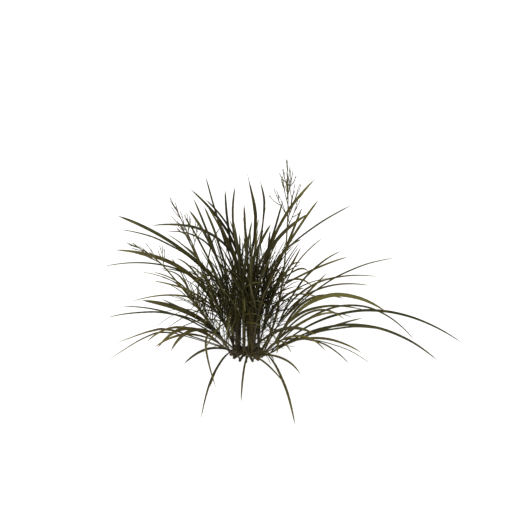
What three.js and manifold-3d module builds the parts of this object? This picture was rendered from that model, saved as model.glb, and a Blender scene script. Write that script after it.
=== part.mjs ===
// Panic grass: a tussock cut level with the ground, standing on its own woody crown.
// Millimetres. The origin is the middle of the crown's flat underside, X right, Y away, Z up.

import * as THREE from "three";
import Module from "manifold-3d";

const wasm = await Module();
wasm.setup();

// Driving sizes

const crownRadius = 46;
const crownCoreRadius = 32;
const crownKnobRadius = 6;
const crownHeight = 7;
const crownEdge = 1;
const crownCorners = 72;
const socketFloor = 2;
const socketGap = 0.4;
const pegHeight = 8;
const crownClearance = 10;

const stemFootRadius = 2.6;
const stemHeadRadius = 1.5;
const stemSides = 5;
const stemSegments = 3;

const bladeSegmentLength = 66;
const bladeFewestSegments = 4;
const bladeMostSegments = 10;
const bladeSharedPart = 0.3;
const bladeTaper = 4;
const bladeRootWidth = 0.5;
const bladeFullWidthAt = 0.3;
const bladeTipWidth = 1.4;
const bladeDepthPerWidth = 0.14;
const bladeLeastDepth = 0.9;
const bladeTurnedAt = 0.5;
const turnToFront = [0.35, 1.15];
const looseTurn = 0.25;
const rootShare = [0.93, 0.99];
const lowestTip = 1;

const panicleGap = 0.35;
const rachisFootRadius = 1.3;
const rachisTipRadius = 0.5;
const rachisSegments = 5;
const rachisSides = 4;
const branchCount = 11;
const branchLowest = 0.06;
const branchHighest = 0.84;
const branchShortest = 0.3;
const branchLean = 0.55;
const branchBendUp = 0.4;
const branchBendOut = 0.34;
const branchRadius = 0.5;
const branchSides = 3;
const spikeletShares = [0.6, 0.93];
const spikeletHalfShare = 0.07;
const spikeletRadius = 1.3;

// The clearance rule counts in cubes of this side, and looks at a blade in steps of this length
const cell = 3;
const sampleStep = 1.4;

// Small changes of place that a blade may take to pass clear of the shoots before it, in front of
// them or behind them (falling by a set part as it goes back), or to one side
const sidewaysTries = [0, 8, -8, 16, -16, 26, -26];
const depthTries = [0, 10, -10, 20, -20, 30, -30, 42, -42, 55, -55];
const bendSidewaysPart = 0.6;
const tipDepthPart = 0.6;
const fallPerDepth = 0.577;

const fillCandidates = 90;
const fillSpacing = 4.6;
const fillClearance = 11;
const fillTurn = 0.4;
const fillHeightSpread = [0.8, 1.15];
const fillSeed = 7919;
const shootSeed = 104729;
const fillHeightInside = 210;
const fillHeightOutside = 80;
const fillLeanInside = 0.02;
const fillLeanOutside = 0.3;
const stemBendOut = 0.3;
const stemBendUp = 0.55;
const longBlades = 6;
const longLeave = [0.5, 1];
const longTilt = [0.12, 0.62];
const longTiltPart = [0.3, 1.1];
const longTurn = 1.5;
const longLength = [150, 275];
const longDroop = [1.1, 1.7];
const longWidth = [4.5, 7];
const shortBlades = 3;
const shortLeave = [0.2, 0.75];
const shortTilt = [0.25, 0.75];
const shortTurn = 2;
const shortLength = [90, 210];
const shortDroop = [1.2, 2.4];
const shortWidth = [4, 5.5];
const shortBladesFrom = 100;
const rowBendTilt = 0.6;
const rowBendReach = 0.55;
const rowTipReach = 0.95;
const triesPerBlade = 3;
const goldenAngle = Math.PI * (3 - Math.sqrt(5));

// Shoots placed by hand. A stem runs from its foot through its bend to its head.
// A blade's row is: where it leaves the stem, from foot 0 to head 1; the point that it bends
// towards; its tip; its width; and, where the bend is sharper than an arc, how sharp.

const shoots = {
  left_high: {
    foot: [-19, 20], bend: [-30, 27, 95], head: [-56, 34, 185],
    blades: [
      [0.95, -150, 45, 300, -298, 70, 345, 10],
      [0.8, -140, 25, 315, -286, 20, 335, 7],
      [0.6, -140, 20, 285, -340, 40, 225, 6],
      [1, -65, 40, 330, -190, 60, 310, 7],
      [0.7, -95, 60, 260, -150, 110, 330, 7],
    ],
  },
  left_middle: {
    foot: [-30, 6], bend: [-44, 5, 75], head: [-82, -4, 145],
    blades: [
      [0.9, -125, -10, 290, -303, -20, 305, 13],
      [0.8, -100, -35, 212, -207, -60, 247, 8],
      [0.6, -110, -5, 210, -274, -10, 157, 8],
      [1, -115, 10, 250, -160, 15, 262, 6],
      [0.9, -95, -15, 240, -125, -25, 330, 7],
    ],
  },
  left_low: {
    foot: [-38, -14], bend: [-46, -17, 38], head: [-74, -27, 82],
    blades: [
      [0.9, -115, -50, 170, -232, -90, 215, 14],
      [0.7, -102, -40, 137, -194, -60, 198, 8],
      [0.6, -130, -120, 240, -318, -80, 160, 8],
      [0.5, -145, -50, 170, -288, -60, 178, 6],
    ],
  },
  left_front: {
    foot: [-30, -27], bend: [-37, -34, 28], head: [-57, -50, 58],
    blades: [
      [0.9, -194, -65, 127, -320, -80, 80, 8, 5],
      [0.7, -203, -58, 120, -346, -55, 8, 6, 4],
      [0.8, -150, -70, 178, -227, -95, 103, 7],
      [1, -134, -80, 187, -200, -110, 97, 10],
      [0.9, -125, -90, 164, -200, -130, 118, 7],
    ],
  },
  front_left: {
    foot: [-15, -38], bend: [-19, -46, 28], head: [-30, -60, 60],
    blades: [
      [0.9, -114, -95, 200, -164, -140, 114, 10],
      [0.5, -83, -100, 118, -139, -140, 74, 9],
      [0.9, -78, -140, 80, -96, -240, 2, 9],
      [0.8, -60, -110, 77, -79, -180, 38, 6],
      [1, -121, -110, 223, -62, -190, 52, 7],
    ],
  },
  arch_left: {
    foot: [-14, -3], bend: [-22, -7, 110], head: [-38, -13, 185],
    blades: [
      [1, -67, -40, 287, -124, -60, 236, 8],
      [0.9, -68, -10, 319, -122, -20, 405, 8],
      [0.8, -47, -20, 310, -87, -40, 424, 7],
      [0.7, -68, 15, 287, -115, 20, 415, 8],
      [0.6, -62, -30, 230, -100, -55, 330, 7],
    ],
  },
  right_high: {
    foot: [30, 29], bend: [35, 34, 105], head: [53, 43, 195],
    blades: [
      [1, 45, 50, 320, 162, 80, 437, 9],
      [0.86, 97, 35, 295, 169, 50, 398, 8],
      [0.8, 98, 45, 268, 132, 70, 366, 7],
      [0.7, 149, 40, 221, 246, 60, 240, 6],
    ],
  },
  upright_left: {
    foot: [-5, 15], bend: [-7, 20, 125], head: [-11, 27, 235],
    blades: [
      [0.9, -10, 40, 315, -125, 60, 419, 8],
      [0.95, -54, 60, 350, -230, 110, 298, 9],
      [0.8, -42, 10, 303, -44, 30, 432, 8],
      [1, -13, 60, 313, -94, 90, 379, 6],
      [0.7, -57, 50, 313, -89, 80, 439, 6],
    ],
  },
  upright_middle: {
    foot: [8, 3], bend: [9, 5, 135], head: [13, 8, 255],
    blades: [
      [1, 27, 14, 378, 5, 30, 473, 8, 5],
      [0.9, -43, -5, 314, -20, -20, 462, 8],
      [0.8, 2, -15, 288, -1, -30, 424, 8],
    ],
  },
  upright_right: {
    foot: [22, 16], bend: [25, 21, 125], head: [31, 28, 235],
    blades: [
      [1, 46, 38, 400, 34, 50, 445, 7, 5],
      [0.9, 57, 15, 287, 85, 20, 408, 8],
      [0.7, 80, 135, 240, 255, 110, 355, 6],
    ],
  },
  middle_front: {
    foot: [-5, -18], bend: [-7, -23, 115], head: [-6, -30, 205],
    blades: [
      [1, 0, -40, 290, 16, -60, 398, 7],
      [0.9, -11, -25, 276, -27, -50, 400, 8],
      [0.8, 11, -20, 286, 58, -40, 381, 8],
    ],
  },
  culm_nodding: {
    foot: [-42, -1], bend: [-125, -4, 160], head: [-185, -10, 251],
    blades: [
      [0.5, -130, -40, 200, -170, -60, 240, 6],
      [0.65, -140, 20, 225, -200, 40, 215, 6],
    ],
    panicle: { tip: [-266, -5, 314], branch: 52 },
  },
  culm_left: {
    foot: [-33, 22], bend: [-75, 34, 140], head: [-120, 50, 265],
    blades: [
      [0.7, -120, 60, 240, -160, 70, 330, 6],
    ],
    panicle: { tip: [-172, 60, 396], branch: 62 },
  },
  culm_right: {
    foot: [42, 7], bend: [88, 9, 85], head: [97, 42, 318],
    blades: [
      [0.72, 128, 30, 240, 149, 30, 218, 7],
      [0.74, 108, 40, 245, 132, 45, 232, 5],
      [0.7, 128, 5, 228, 158, 0, 194, 6],
    ],
    panicle: { tip: [94, 50, 493], branch: 92 },
  },
  right_inner: {
    foot: [19, -10], bend: [23, -11, 105], head: [40, -12, 185],
    blades: [
      [1, 20, -12, 310, 143, -20, 398, 10],
      [0.9, 99, -15, 235, 126, -30, 318, 7],
      [0.8, 61, -30, 310, 125, -60, 354, 7],
      [0.7, 53, -10, 246, 56, -20, 355, 7],
      [0.6, 60, -30, 230, 95, -40, 345, 7],
    ],
  },
  right_middle: {
    foot: [45, -9], bend: [60, -6, 48], head: [84, 4, 92],
    blades: [
      [1, 130, 5, 239, 224, 10, 285, 8],
      [0.8, 195, 60, 212, 371, 110, 208, 6],
      [0.9, 132, 30, 230, 324, 50, 190, 8],
      [0.7, 134, 50, 201, 306, 90, 141, 6],
      [1, 127, -15, 163, 188, -20, 243, 8],
    ],
  },
  right_low: {
    foot: [40, -22], bend: [56, -28, 33], head: [80, -35, 62],
    blades: [
      [0.9, 162, -40, 279, 330, -60, 160, 14],
      [1, 133, 0, 204, 240, 0, 156, 8],
      [0.8, 126, 15, 169, 301, 30, 103, 10],
      [0.9, 160, -30, 201, 235, -40, 126, 7],
      [0.7, 177, 10, 149, 265, 30, 82, 6],
    ],
  },
  right_far: {
    foot: [31, -34], bend: [46, -45, 24], head: [70, -56, 46],
    blades: [
      [0.9, 263, -40, 207, 471, -50, 8, 10],
      [1, 269, 0, 238, 550, 20, 8, 9],
      [0.8, 229, -25, 284, 403, -30, 60, 7],
      [0.7, 204, -60, 151, 333, -90, 130, 7],
      [1, 163, 0, 66, 292, 30, 82, 8],
    ],
  },
  front_right: {
    foot: [17, -39], bend: [28, -52, 24], head: [50, -68, 50],
    blades: [
      [1, 93, -150, 52, 110, -260, 2, 10],
      [0.9, 123, -50, 150, 203, -60, 165, 9],
      [0.8, 159, -70, 144, 273, -90, 67, 8],
      [0.7, 123, -90, 169, 181, -130, 106, 7],
      [0.9, 80, -80, 131, 104, -130, 101, 6],
      [1, 85, -90, 133, 70, -150, 116, 7],
    ],
  },
  front: {
    foot: [1, -42], bend: [4, -56, 24], head: [9, -72, 52],
    blades: [
      [0.9, 82, -90, 178, 161, -110, 134, 11],
      [0.8, 44, -110, 71, 85, -190, 64, 6],
      [0.9, 53, -90, 90, 66, -140, 83, 6],
      [0.7, 93, -90, 81, 125, -150, 56, 6],
      [0.9, -5, -120, 70, -9, -186, 2, 7],
    ],
  },
};

// Seeded draws from 0 to 1, the same on every run

function seededDraws(seed) {
  const multiplier = 1664525;
  const increment = 1013904223;
  const range = 2 ** 32;
  let state = seed;
  return () => {
    state = (state * multiplier + increment) % range;
    return state / range;
  };
}

function between(low, high, share) {
  return low + (high - low) * share;
}

// The space that the shoots hold, kept as cubes with the name of each one's holder

const heldCells = new Map();
const sharedCell = "shared";

function cellKey(x, y, z) {
  return x + 512 + (y + 512) * 1024 + (z + 64) * 1048576;
}

function cellIndex(value) {
  return Math.floor(value / cell);
}

function isFree(points, owner) {
  return points.every((point) => {
    if (point.z < crownClearance && Math.hypot(point.x, point.y) < crownRadius + crownKnobRadius) {
      return false;
    }
    const key = cellKey(cellIndex(point.x), cellIndex(point.y), cellIndex(point.z));
    const holder = heldCells.get(key);
    return holder === undefined || holder === owner;
  });
}

function holdCell(key, owner) {
  const holder = heldCells.get(key);
  heldCells.set(key, holder === undefined || holder === owner ? owner : sharedCell);
}

function hold(points, owner) {
  for (const point of points) {
    const x = cellIndex(point.x);
    const y = cellIndex(point.y);
    const z = cellIndex(point.z);
    for (let dx = -1; dx <= 1; dx += 1) {
      for (let dy = -1; dy <= 1; dy += 1) {
        for (let dz = -1; dz <= 1; dz += 1) {
          holdCell(cellKey(x + dx, y + dy, z + dz), owner);
        }
      }
    }
  }
}

// Curves and closed bodies

// An arc from a root towards a bend and on to a tip, which passes closer to the bend the sharper it is
class BendingCurve extends THREE.Curve {
  constructor(root, bend, tip, sharpness = 1) {
    super();
    this.root = root;
    this.bend = bend;
    this.tip = tip;
    this.sharpness = sharpness;
  }

  getPoint(share) {
    const rootPull = (1 - share) ** 2;
    const bendPull = 2 * this.sharpness * share * (1 - share);
    const tipPull = share ** 2;
    const point = this.root.clone().multiplyScalar(rootPull);
    point.addScaledVector(this.bend, bendPull).addScaledVector(this.tip, tipPull);
    return point.divideScalar(rootPull + bendPull + tipPull);
  }

  roughLength() {
    const { root, bend, tip } = this;
    return (root.distanceTo(tip) + root.distanceTo(bend) + bend.distanceTo(tip)) / 2;
  }
}

// Triangles that close a ring whose corners all see the first one
function fanFaces(sides) {
  return Array.from({ length: sides - 2 }, (unused, side) => [0, side + 1, side + 2]);
}

// A body skinned over rings of points, which run counter-clockwise seen from the far end. Its sides
// are split along the diagonals that stand out where it turns to the right, or else to the left.
function loft(rings, { endFaces = fanFaces(rings[0].length), turnsLeft = false } = {}) {
  const sides = rings[0].length;
  const last = (rings.length - 1) * sides;
  const faces = [];
  for (let low = 0; low < last; low += sides) {
    const high = low + sides;
    for (let side = 0; side < sides; side += 1) {
      const next = (side + 1) % sides;
      if (turnsLeft) {
        faces.push(low + side, low + next, high + side, low + next, high + next, high + side);
      } else {
        faces.push(low + side, low + next, high + next, low + side, high + next, high + side);
      }
    }
  }
  for (const [first, second, third] of endFaces) {
    faces.push(first, third, second, last + first, last + second, last + third);
  }
  const corners = rings.flat().flatMap((point) => point.toArray());
  return new wasm.Manifold(new wasm.Mesh({
    numProp: 3,
    vertProperties: new Float32Array(corners),
    triVerts: new Uint32Array(faces),
  }));
}

// Directions across a curve's upper face and out of it, turned by a twist about the curve
function faceDirections(curve, share, twist) {
  const along = curve.getTangent(share);
  const heading = curve.tip.clone().sub(curve.root).setZ(0).normalize();
  const across = new THREE.Vector3(-heading.y, heading.x, 0);
  across.addScaledVector(along, -across.dot(along)).normalize();
  const out = along.clone().cross(across);
  const turned = across.multiplyScalar(Math.cos(twist)).addScaledVector(out, Math.sin(twist));
  return { across: turned, out: along.cross(turned) };
}

function ringRound(centre, { across, out }, radius, sides) {
  return Array.from({ length: sides }, (unused, side) => {
    const angle = (2 * Math.PI * side) / sides;
    const point = centre.clone().addScaledVector(across, radius * Math.cos(angle));
    return point.addScaledVector(out, radius * Math.sin(angle));
  });
}

function ringOn(curve, share, radius, sides) {
  return ringRound(curve.getPoint(share), faceDirections(curve, share, 0), radius, sides);
}

// Stems, each with an upright peg at its foot

function stemCurve(shoot) {
  const root = new THREE.Vector3(shoot.foot[0], shoot.foot[1], pegHeight);
  return new BendingCurve(root, new THREE.Vector3(...shoot.bend), new THREE.Vector3(...shoot.head));
}

// A ring that lies flat, below or at the start of a stem's curve
function pegRing(curve, height, radius) {
  const heading = curve.tip.clone().sub(curve.root).setZ(0).normalize();
  const across = new THREE.Vector3(-heading.y, heading.x, 0);
  return ringRound(curve.root.clone().setZ(height), { across, out: heading.negate() }, radius, stemSides);
}

function stemRadiusAt(share) {
  return between(stemFootRadius, stemHeadRadius, share);
}

function stemBody(curve) {
  const heights = [socketFloor + socketGap, pegHeight];
  const rings = heights.map((height) => pegRing(curve, height, stemFootRadius));
  for (let segment = 1; segment <= stemSegments; segment += 1) {
    const share = segment / stemSegments;
    rings.push(ringOn(curve, share, stemRadiusAt(share), stemSides));
  }
  return loft(rings);
}

function socketBody(curve) {
  const heights = [socketFloor, pegHeight];
  return loft(heights.map((height) => pegRing(curve, height, stemFootRadius + socketGap)));
}

function stemPoints(curve) {
  const steps = Math.ceil(curve.roughLength() / sampleStep);
  const points = [];
  for (let step = 0; step <= steps; step += 1) {
    const share = step / steps;
    points.push(curve.getPoint(share), ...ringOn(curve, share, stemRadiusAt(share), stemSides));
  }
  return points;
}

// Blades

function bladeWidthAt(share, width) {
  const opened = Math.min(1, share / bladeFullWidthAt);
  const grown = between(bladeRootWidth, 1, Math.sin((opened * Math.PI) / 2));
  return bladeTipWidth + (width - bladeTipWidth) * grown * (1 - share ** bladeTaper);
}

// How far a blade has turned about its own length, fully from part of the way along
function bladeTurnAt(share, twist) {
  return twist * Math.sin((Math.min(1, share / bladeTurnedAt) * Math.PI) / 2);
}

// Points over a blade's face, between two shares of its length
function bladePoints(blade, from, to) {
  const steps = Math.ceil((blade.curve.roughLength() * (to - from)) / sampleStep);
  const halfSamples = Math.ceil(blade.width / 2 / sampleStep);
  const points = [];
  for (let step = 0; step <= steps; step += 1) {
    const share = between(from, to, step / steps);
    const centre = blade.curve.getPoint(share);
    const { across } = faceDirections(blade.curve, share, bladeTurnAt(share, blade.twist));
    const halfWidth = bladeWidthAt(share, blade.width) / 2;
    for (let sample = -halfSamples; sample <= halfSamples; sample += 1) {
      points.push(centre.clone().addScaledVector(across, (halfWidth * sample) / halfSamples));
    }
  }
  return points;
}

// A blade is three-sided, with a keel under its two edges
function bladeBody(blade) {
  const wanted = Math.ceil(blade.curve.roughLength() / bladeSegmentLength);
  const segments = Math.min(bladeMostSegments, Math.max(bladeFewestSegments, wanted));
  const rings = [];
  for (let segment = 0; segment <= segments; segment += 1) {
    const share = segment / segments;
    const width = bladeWidthAt(share, blade.width);
    const depth = Math.max(bladeLeastDepth, width * bladeDepthPerWidth);
    const centre = blade.curve.getPoint(share);
    const { across, out } = faceDirections(blade.curve, share, bladeTurnAt(share, blade.twist));
    const edgeMiddle = centre.clone().addScaledVector(out, depth / 2);
    rings.push([
      edgeMiddle.clone().addScaledVector(across, width / 2),
      edgeMiddle.clone().addScaledVector(across, -width / 2),
      centre.clone().addScaledVector(out, -depth / 2),
    ]);
  }
  return loft(rings, { turnsLeft: blade.twist > 0 });
}

// The first place within the tries where the blade passes clear, or nothing where none does
function clearBlade(owner, root, row, twist) {
  const [bendX, bendY, bendZ, tipX, tipY, tipZ, width, sharpness] = row;
  const heading = new THREE.Vector3(tipX - root.x, tipY - root.y, 0).normalize();
  const sideways = new THREE.Vector3(-heading.y, heading.x, 0);
  const pastOthers = new THREE.Vector3(0, 1, -fallPerDepth);
  for (const shift of sidewaysTries) {
    for (const depth of depthTries) {
      const bend = new THREE.Vector3(bendX, bendY, bendZ);
      const tip = new THREE.Vector3(tipX, tipY, tipZ);
      bend.addScaledVector(sideways, shift * bendSidewaysPart).addScaledVector(pastOthers, depth);
      tip.addScaledVector(sideways, shift).addScaledVector(pastOthers, depth * tipDepthPart);
      tip.z = Math.max(lowestTip, tip.z);
      const blade = { curve: new BendingCurve(root, bend, tip, sharpness), width, twist };
      const inner = bladePoints(blade, 0, bladeSharedPart);
      const outer = bladePoints(blade, bladeSharedPart, 1);
      if (isFree(inner, owner) && isFree(outer, owner)) {
        hold(inner, owner);
        hold(outer, `${owner}, past its root`);
        return blade;
      }
    }
  }
  return null;
}

// Panicles

// A panicle's axis, which starts just past its stem's head, and its branches, shorter towards the tip
function panicleCurves(stem, panicle) {
  const upward = stem.getTangent(1);
  const foot = stem.getPoint(1).addScaledVector(upward, panicleGap);
  const tip = new THREE.Vector3(...panicle.tip);
  const bend = foot.clone().addScaledVector(upward, foot.distanceTo(tip) / 2);
  const rachis = new BendingCurve(foot, bend, tip);
  const branches = [];
  for (let index = 0; index < branchCount; index += 1) {
    const rise = index / (branchCount - 1);
    const share = between(branchLowest, branchHighest, rise);
    const length = panicle.branch * between(1, branchShortest, rise);
    const root = rachis.getPoint(share);
    const along = rachis.getTangent(share);
    const { out } = faceDirections(rachis, share, index * goldenAngle);
    const end = root.clone().addScaledVector(along, length * Math.cos(branchLean));
    end.addScaledVector(out, length * Math.sin(branchLean));
    const swell = root.clone().addScaledVector(along, length * branchBendUp);
    swell.addScaledVector(out, length * branchBendOut);
    branches.push(new BendingCurve(root, swell, end));
  }
  return { rachis, branches };
}

function curvePoints(curve) {
  const steps = Math.ceil(curve.roughLength() / sampleStep);
  return Array.from({ length: steps + 1 }, (unused, step) => curve.getPoint(step / steps));
}

// A thin branch whose spikelets are swellings along it
function branchBody(curve) {
  const rings = [ringOn(curve, 0, branchRadius, branchSides)];
  for (const middle of spikeletShares) {
    rings.push(ringOn(curve, middle - spikeletHalfShare, branchRadius, branchSides));
    rings.push(ringOn(curve, middle, spikeletRadius, branchSides));
  }
  rings.push(ringOn(curve, 1, branchRadius / 2, branchSides));
  return loft(rings);
}

function panicleBody({ rachis, branches }) {
  const rings = [];
  for (let segment = 0; segment <= rachisSegments; segment += 1) {
    const share = segment / rachisSegments;
    rings.push(ringOn(rachis, share, between(rachisFootRadius, rachisTipRadius, share), rachisSides));
  }
  return branches.reduce((body, branch) => body.add(branchBody(branch)), loft(rings));
}

// Shoots that fill the rest of the crown, by a spiral of feet and seeded draws.
// The further out a foot is, the more its shoot leans.

function outwardShare(foot) {
  return Math.hypot(foot[0], foot[1]) / crownRadius;
}

function outwardTurn(foot) {
  return Math.atan2(foot[1], foot[0]);
}

function fillShoot(foot, draw) {
  const outward = outwardShare(foot);
  const turn = outwardTurn(foot) + between(-fillTurn, fillTurn, draw());
  const height = between(fillHeightInside, fillHeightOutside, outward) * between(...fillHeightSpread, draw());
  const lean = between(fillLeanInside, fillLeanOutside, outward) * height;
  const head = [foot[0] + lean * Math.cos(turn), foot[1] + lean * Math.sin(turn), height];
  const bend = [
    between(foot[0], head[0], stemBendOut),
    between(foot[1], head[1], stemBendOut),
    height * stemBendUp,
  ];
  return { foot, bend, head, blades: [], longBlades };
}

function addFillShoots() {
  const feet = Object.values(shoots).map((shoot) => shoot.foot);
  for (let candidate = 0; candidate < fillCandidates; candidate += 1) {
    const distance = fillSpacing * Math.sqrt(candidate);
    const angle = candidate * goldenAngle;
    const foot = [distance * Math.cos(angle), distance * Math.sin(angle)];
    const isApart = (other) => Math.hypot(foot[0] - other[0], foot[1] - other[1]) > fillClearance;
    if (distance < crownRadius - crownKnobRadius && feet.every(isApart)) {
      feet.push(foot);
      shoots[`fill_${feet.length}`] = fillShoot(foot, seededDraws(feet.length * fillSeed));
    }
  }
}

// Growing every shoot: all the stems first, then the blades placed by hand, then seeded ones

// A row for a blade that sets off by its tilt, leans past it to its tip by its droop, and ends at
// about its length from the root
function bladeRow(root, { turn, tilt, length, droop, width }) {
  const bendTilt = tilt * rowBendTilt;
  const tipTilt = tilt * droop;
  const bendReach = length * rowBendReach;
  const tipReach = length * rowTipReach;
  return [
    root.x + bendReach * Math.sin(bendTilt) * Math.cos(turn),
    root.y + bendReach * Math.sin(bendTilt) * Math.sin(turn),
    root.z + bendReach * Math.cos(bendTilt),
    root.x + tipReach * Math.sin(tipTilt) * Math.cos(turn),
    root.y + tipReach * Math.sin(tipTilt) * Math.sin(turn),
    root.z + tipReach * Math.cos(tipTilt),
    width,
  ];
}

function longRow(growing, root, draw) {
  const { foot } = growing.shoot;
  return bladeRow(root, {
    turn: outwardTurn(foot) + between(-longTurn, longTurn, draw()),
    tilt: between(...longTilt, outwardShare(foot) * between(...longTiltPart, draw())),
    length: between(...longLength, draw()),
    droop: between(...longDroop, draw()),
    width: between(...longWidth, draw()),
  });
}

function shortRow(growing, root, draw) {
  return bladeRow(root, {
    turn: outwardTurn(growing.shoot.foot) + between(-shortTurn, shortTurn, draw()),
    tilt: between(...shortTilt, draw()),
    length: between(...shortLength, draw()),
    droop: between(...shortDroop, draw()),
    width: between(...shortWidth, draw()),
  });
}

// A blade is rooted a little below where it leaves, so that no two start in the same place, and it
// turns its upper face to the front, the more the further it leans to one side
function growBlade(growing, leave, row) {
  const root = growing.curve.getPoint(leave * between(...rootShare, growing.draw()));
  const [, , , tipX, tipY] = row;
  const aside = (tipX - root.x) / Math.hypot(tipX - root.x, tipY - root.y);
  const turn = aside * between(...turnToFront, growing.draw());
  const twist = turn + between(-looseTurn, looseTurn, growing.draw());
  const blade = clearBlade(growing.name, root, row, twist);
  if (blade) {
    growing.blades.push(blade);
  }
}

function growSeeded(growing, count, leaveRange, makeRow) {
  const wanted = growing.blades.length + count;
  for (let tried = 0; tried < count * triesPerBlade && growing.blades.length < wanted; tried += 1) {
    const leave = between(...leaveRange, growing.draw());
    growBlade(growing, leave, makeRow(growing, growing.curve.getPoint(leave), growing.draw));
  }
}

function growShoots() {
  const grown = Object.entries(shoots).map(([name, shoot], index) => {
    const curve = stemCurve(shoot);
    hold(stemPoints(curve), name);
    const panicle = shoot.panicle && panicleCurves(curve, shoot.panicle);
    if (panicle) {
      hold([panicle.rachis, ...panicle.branches].flatMap(curvePoints), `${name}, its panicle`);
    }
    return { name, shoot, curve, panicle, draw: seededDraws(index * shootSeed + 1), blades: [] };
  });
  for (const growing of grown) {
    for (const [leave, ...row] of growing.shoot.blades) {
      growBlade(growing, leave, row);
    }
  }
  for (const growing of grown) {
    growSeeded(growing, growing.shoot.longBlades ?? 0, longLeave, longRow);
  }
  for (const growing of grown) {
    if (growing.curve.tip.z > shortBladesFrom) {
      growSeeded(growing, shortBlades, shortLeave, shortRow);
    }
  }
  return grown;
}

// Crown

// How far the crown reaches in one direction: to its core, or round the feet that stand there
function crownReach(turn, feet) {
  const reaches = feet.map(([x, y]) => {
    const forward = x * Math.cos(turn) + y * Math.sin(turn);
    const aside = y * Math.cos(turn) - x * Math.sin(turn);
    const isPassed = Math.abs(aside) < crownKnobRadius;
    return isPassed ? forward + Math.sqrt(crownKnobRadius ** 2 - aside ** 2) : 0;
  });
  return Math.max(crownCoreRadius, ...reaches);
}

// A low knobbly mound, flat underneath, with a plain socket for every stem
function crownBody(grown) {
  const feet = grown.map((growing) => growing.shoot.foot);
  const outline = Array.from({ length: crownCorners }, (unused, corner) => {
    const turn = (2 * Math.PI * corner) / crownCorners;
    const reach = crownReach(turn, feet);
    return new THREE.Vector2(reach * Math.cos(turn), reach * Math.sin(turn));
  });
  const levels = [
    [0, crownEdge],
    [crownHeight / 2, 0],
    [crownHeight, crownEdge],
  ];
  const rings = levels.map(([height, inset]) => outline.map((point) => {
    const kept = 1 - inset / point.length();
    return new THREE.Vector3(point.x * kept, point.y * kept, height);
  }));
  const mound = loft(rings, { endFaces: THREE.ShapeUtils.triangulateShape(outline, []) });
  return grown.reduce((body, growing) => body.subtract(socketBody(growing.curve)), mound);
}

// Materials and the finished group

const leafColours = [0x4a4930, 0x53512f, 0x3e3d26, 0x5c5738, 0x4b4226];
const panicleColour = 0x8d8168;
const crownColour = 0x3a2c1c;
const leafRoughness = 0.6;
const panicleRoughness = 0.8;
const crownRoughness = 0.9;

function meshOf(name, body, colour, roughness) {
  const { vertProperties, triVerts } = body.getMesh();
  const geometry = new THREE.BufferGeometry();
  geometry.setAttribute("position", new THREE.BufferAttribute(vertProperties, 3));
  geometry.setIndex(new THREE.BufferAttribute(triVerts, 1));
  geometry.computeVertexNormals();
  const material = new THREE.MeshStandardMaterial({ color: colour, roughness, metalness: 0 });
  const mesh = new THREE.Mesh(geometry, material);
  mesh.name = name;
  return mesh;
}

// A shoot is its outer shell alone, as blades that cross can close off a hollow between them
function shootBody(growing) {
  const stem = stemBody(growing.curve);
  const whole = growing.blades.reduce((body, blade) => body.add(bladeBody(blade)), stem);
  const shells = whole.decompose();
  return shells.reduce((outer, shell) => (shell.volume() > outer.volume() ? shell : outer));
}

addFillShoots();
const grownShoots = growShoots();
const tussock = new THREE.Group();
tussock.add(meshOf("crown", crownBody(grownShoots), crownColour, crownRoughness));
grownShoots.forEach((growing, index) => {
  const { name, panicle } = growing;
  const colour = leafColours[index % leafColours.length];
  tussock.add(meshOf(`shoot_${name}`, shootBody(growing), colour, leafRoughness));
  if (panicle) {
    tussock.add(meshOf(`panicle_${name}`, panicleBody(panicle), panicleColour, panicleRoughness));
  }
});

export default tussock;
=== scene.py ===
"""Panic grass: the finished look of the tussock, grown by the same rule as its solids.

Meshes are in metres. The growing rule counts in millimetres, as the solids' source does.
"""
import math
from dataclasses import dataclass, field

import bpy
import numpy as np
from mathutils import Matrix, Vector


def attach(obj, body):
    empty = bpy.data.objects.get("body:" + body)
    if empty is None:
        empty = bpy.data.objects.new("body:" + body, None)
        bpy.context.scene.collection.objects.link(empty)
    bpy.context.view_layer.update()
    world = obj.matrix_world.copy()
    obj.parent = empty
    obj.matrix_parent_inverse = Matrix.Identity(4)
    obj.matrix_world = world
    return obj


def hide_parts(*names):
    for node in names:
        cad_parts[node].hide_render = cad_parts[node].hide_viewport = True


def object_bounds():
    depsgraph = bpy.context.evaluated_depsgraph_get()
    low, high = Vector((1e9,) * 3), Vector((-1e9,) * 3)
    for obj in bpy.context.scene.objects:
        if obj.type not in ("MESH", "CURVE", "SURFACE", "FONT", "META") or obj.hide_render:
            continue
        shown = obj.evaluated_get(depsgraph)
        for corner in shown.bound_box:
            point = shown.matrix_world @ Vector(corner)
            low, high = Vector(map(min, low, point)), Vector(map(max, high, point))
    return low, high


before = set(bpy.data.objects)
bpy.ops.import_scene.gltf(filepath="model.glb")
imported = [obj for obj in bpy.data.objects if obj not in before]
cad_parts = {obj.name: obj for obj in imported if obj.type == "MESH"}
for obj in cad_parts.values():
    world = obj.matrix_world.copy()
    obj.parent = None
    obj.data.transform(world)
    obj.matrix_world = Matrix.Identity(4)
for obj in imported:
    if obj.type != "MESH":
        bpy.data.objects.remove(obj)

cad_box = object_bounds()

MM = 0.001

# Sizes shared with the solids, in millimetres

CROWN_RADIUS = 46
CROWN_KNOB_RADIUS = 6
CROWN_HEIGHT = 7
SOCKET_FLOOR = 2
SOCKET_GAP = 0.4
PEG_HEIGHT = 8
CROWN_CLEARANCE = 10

STEM_FOOT_RADIUS = 2.6
STEM_HEAD_RADIUS = 1.5
STEM_SIDES = 5

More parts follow.
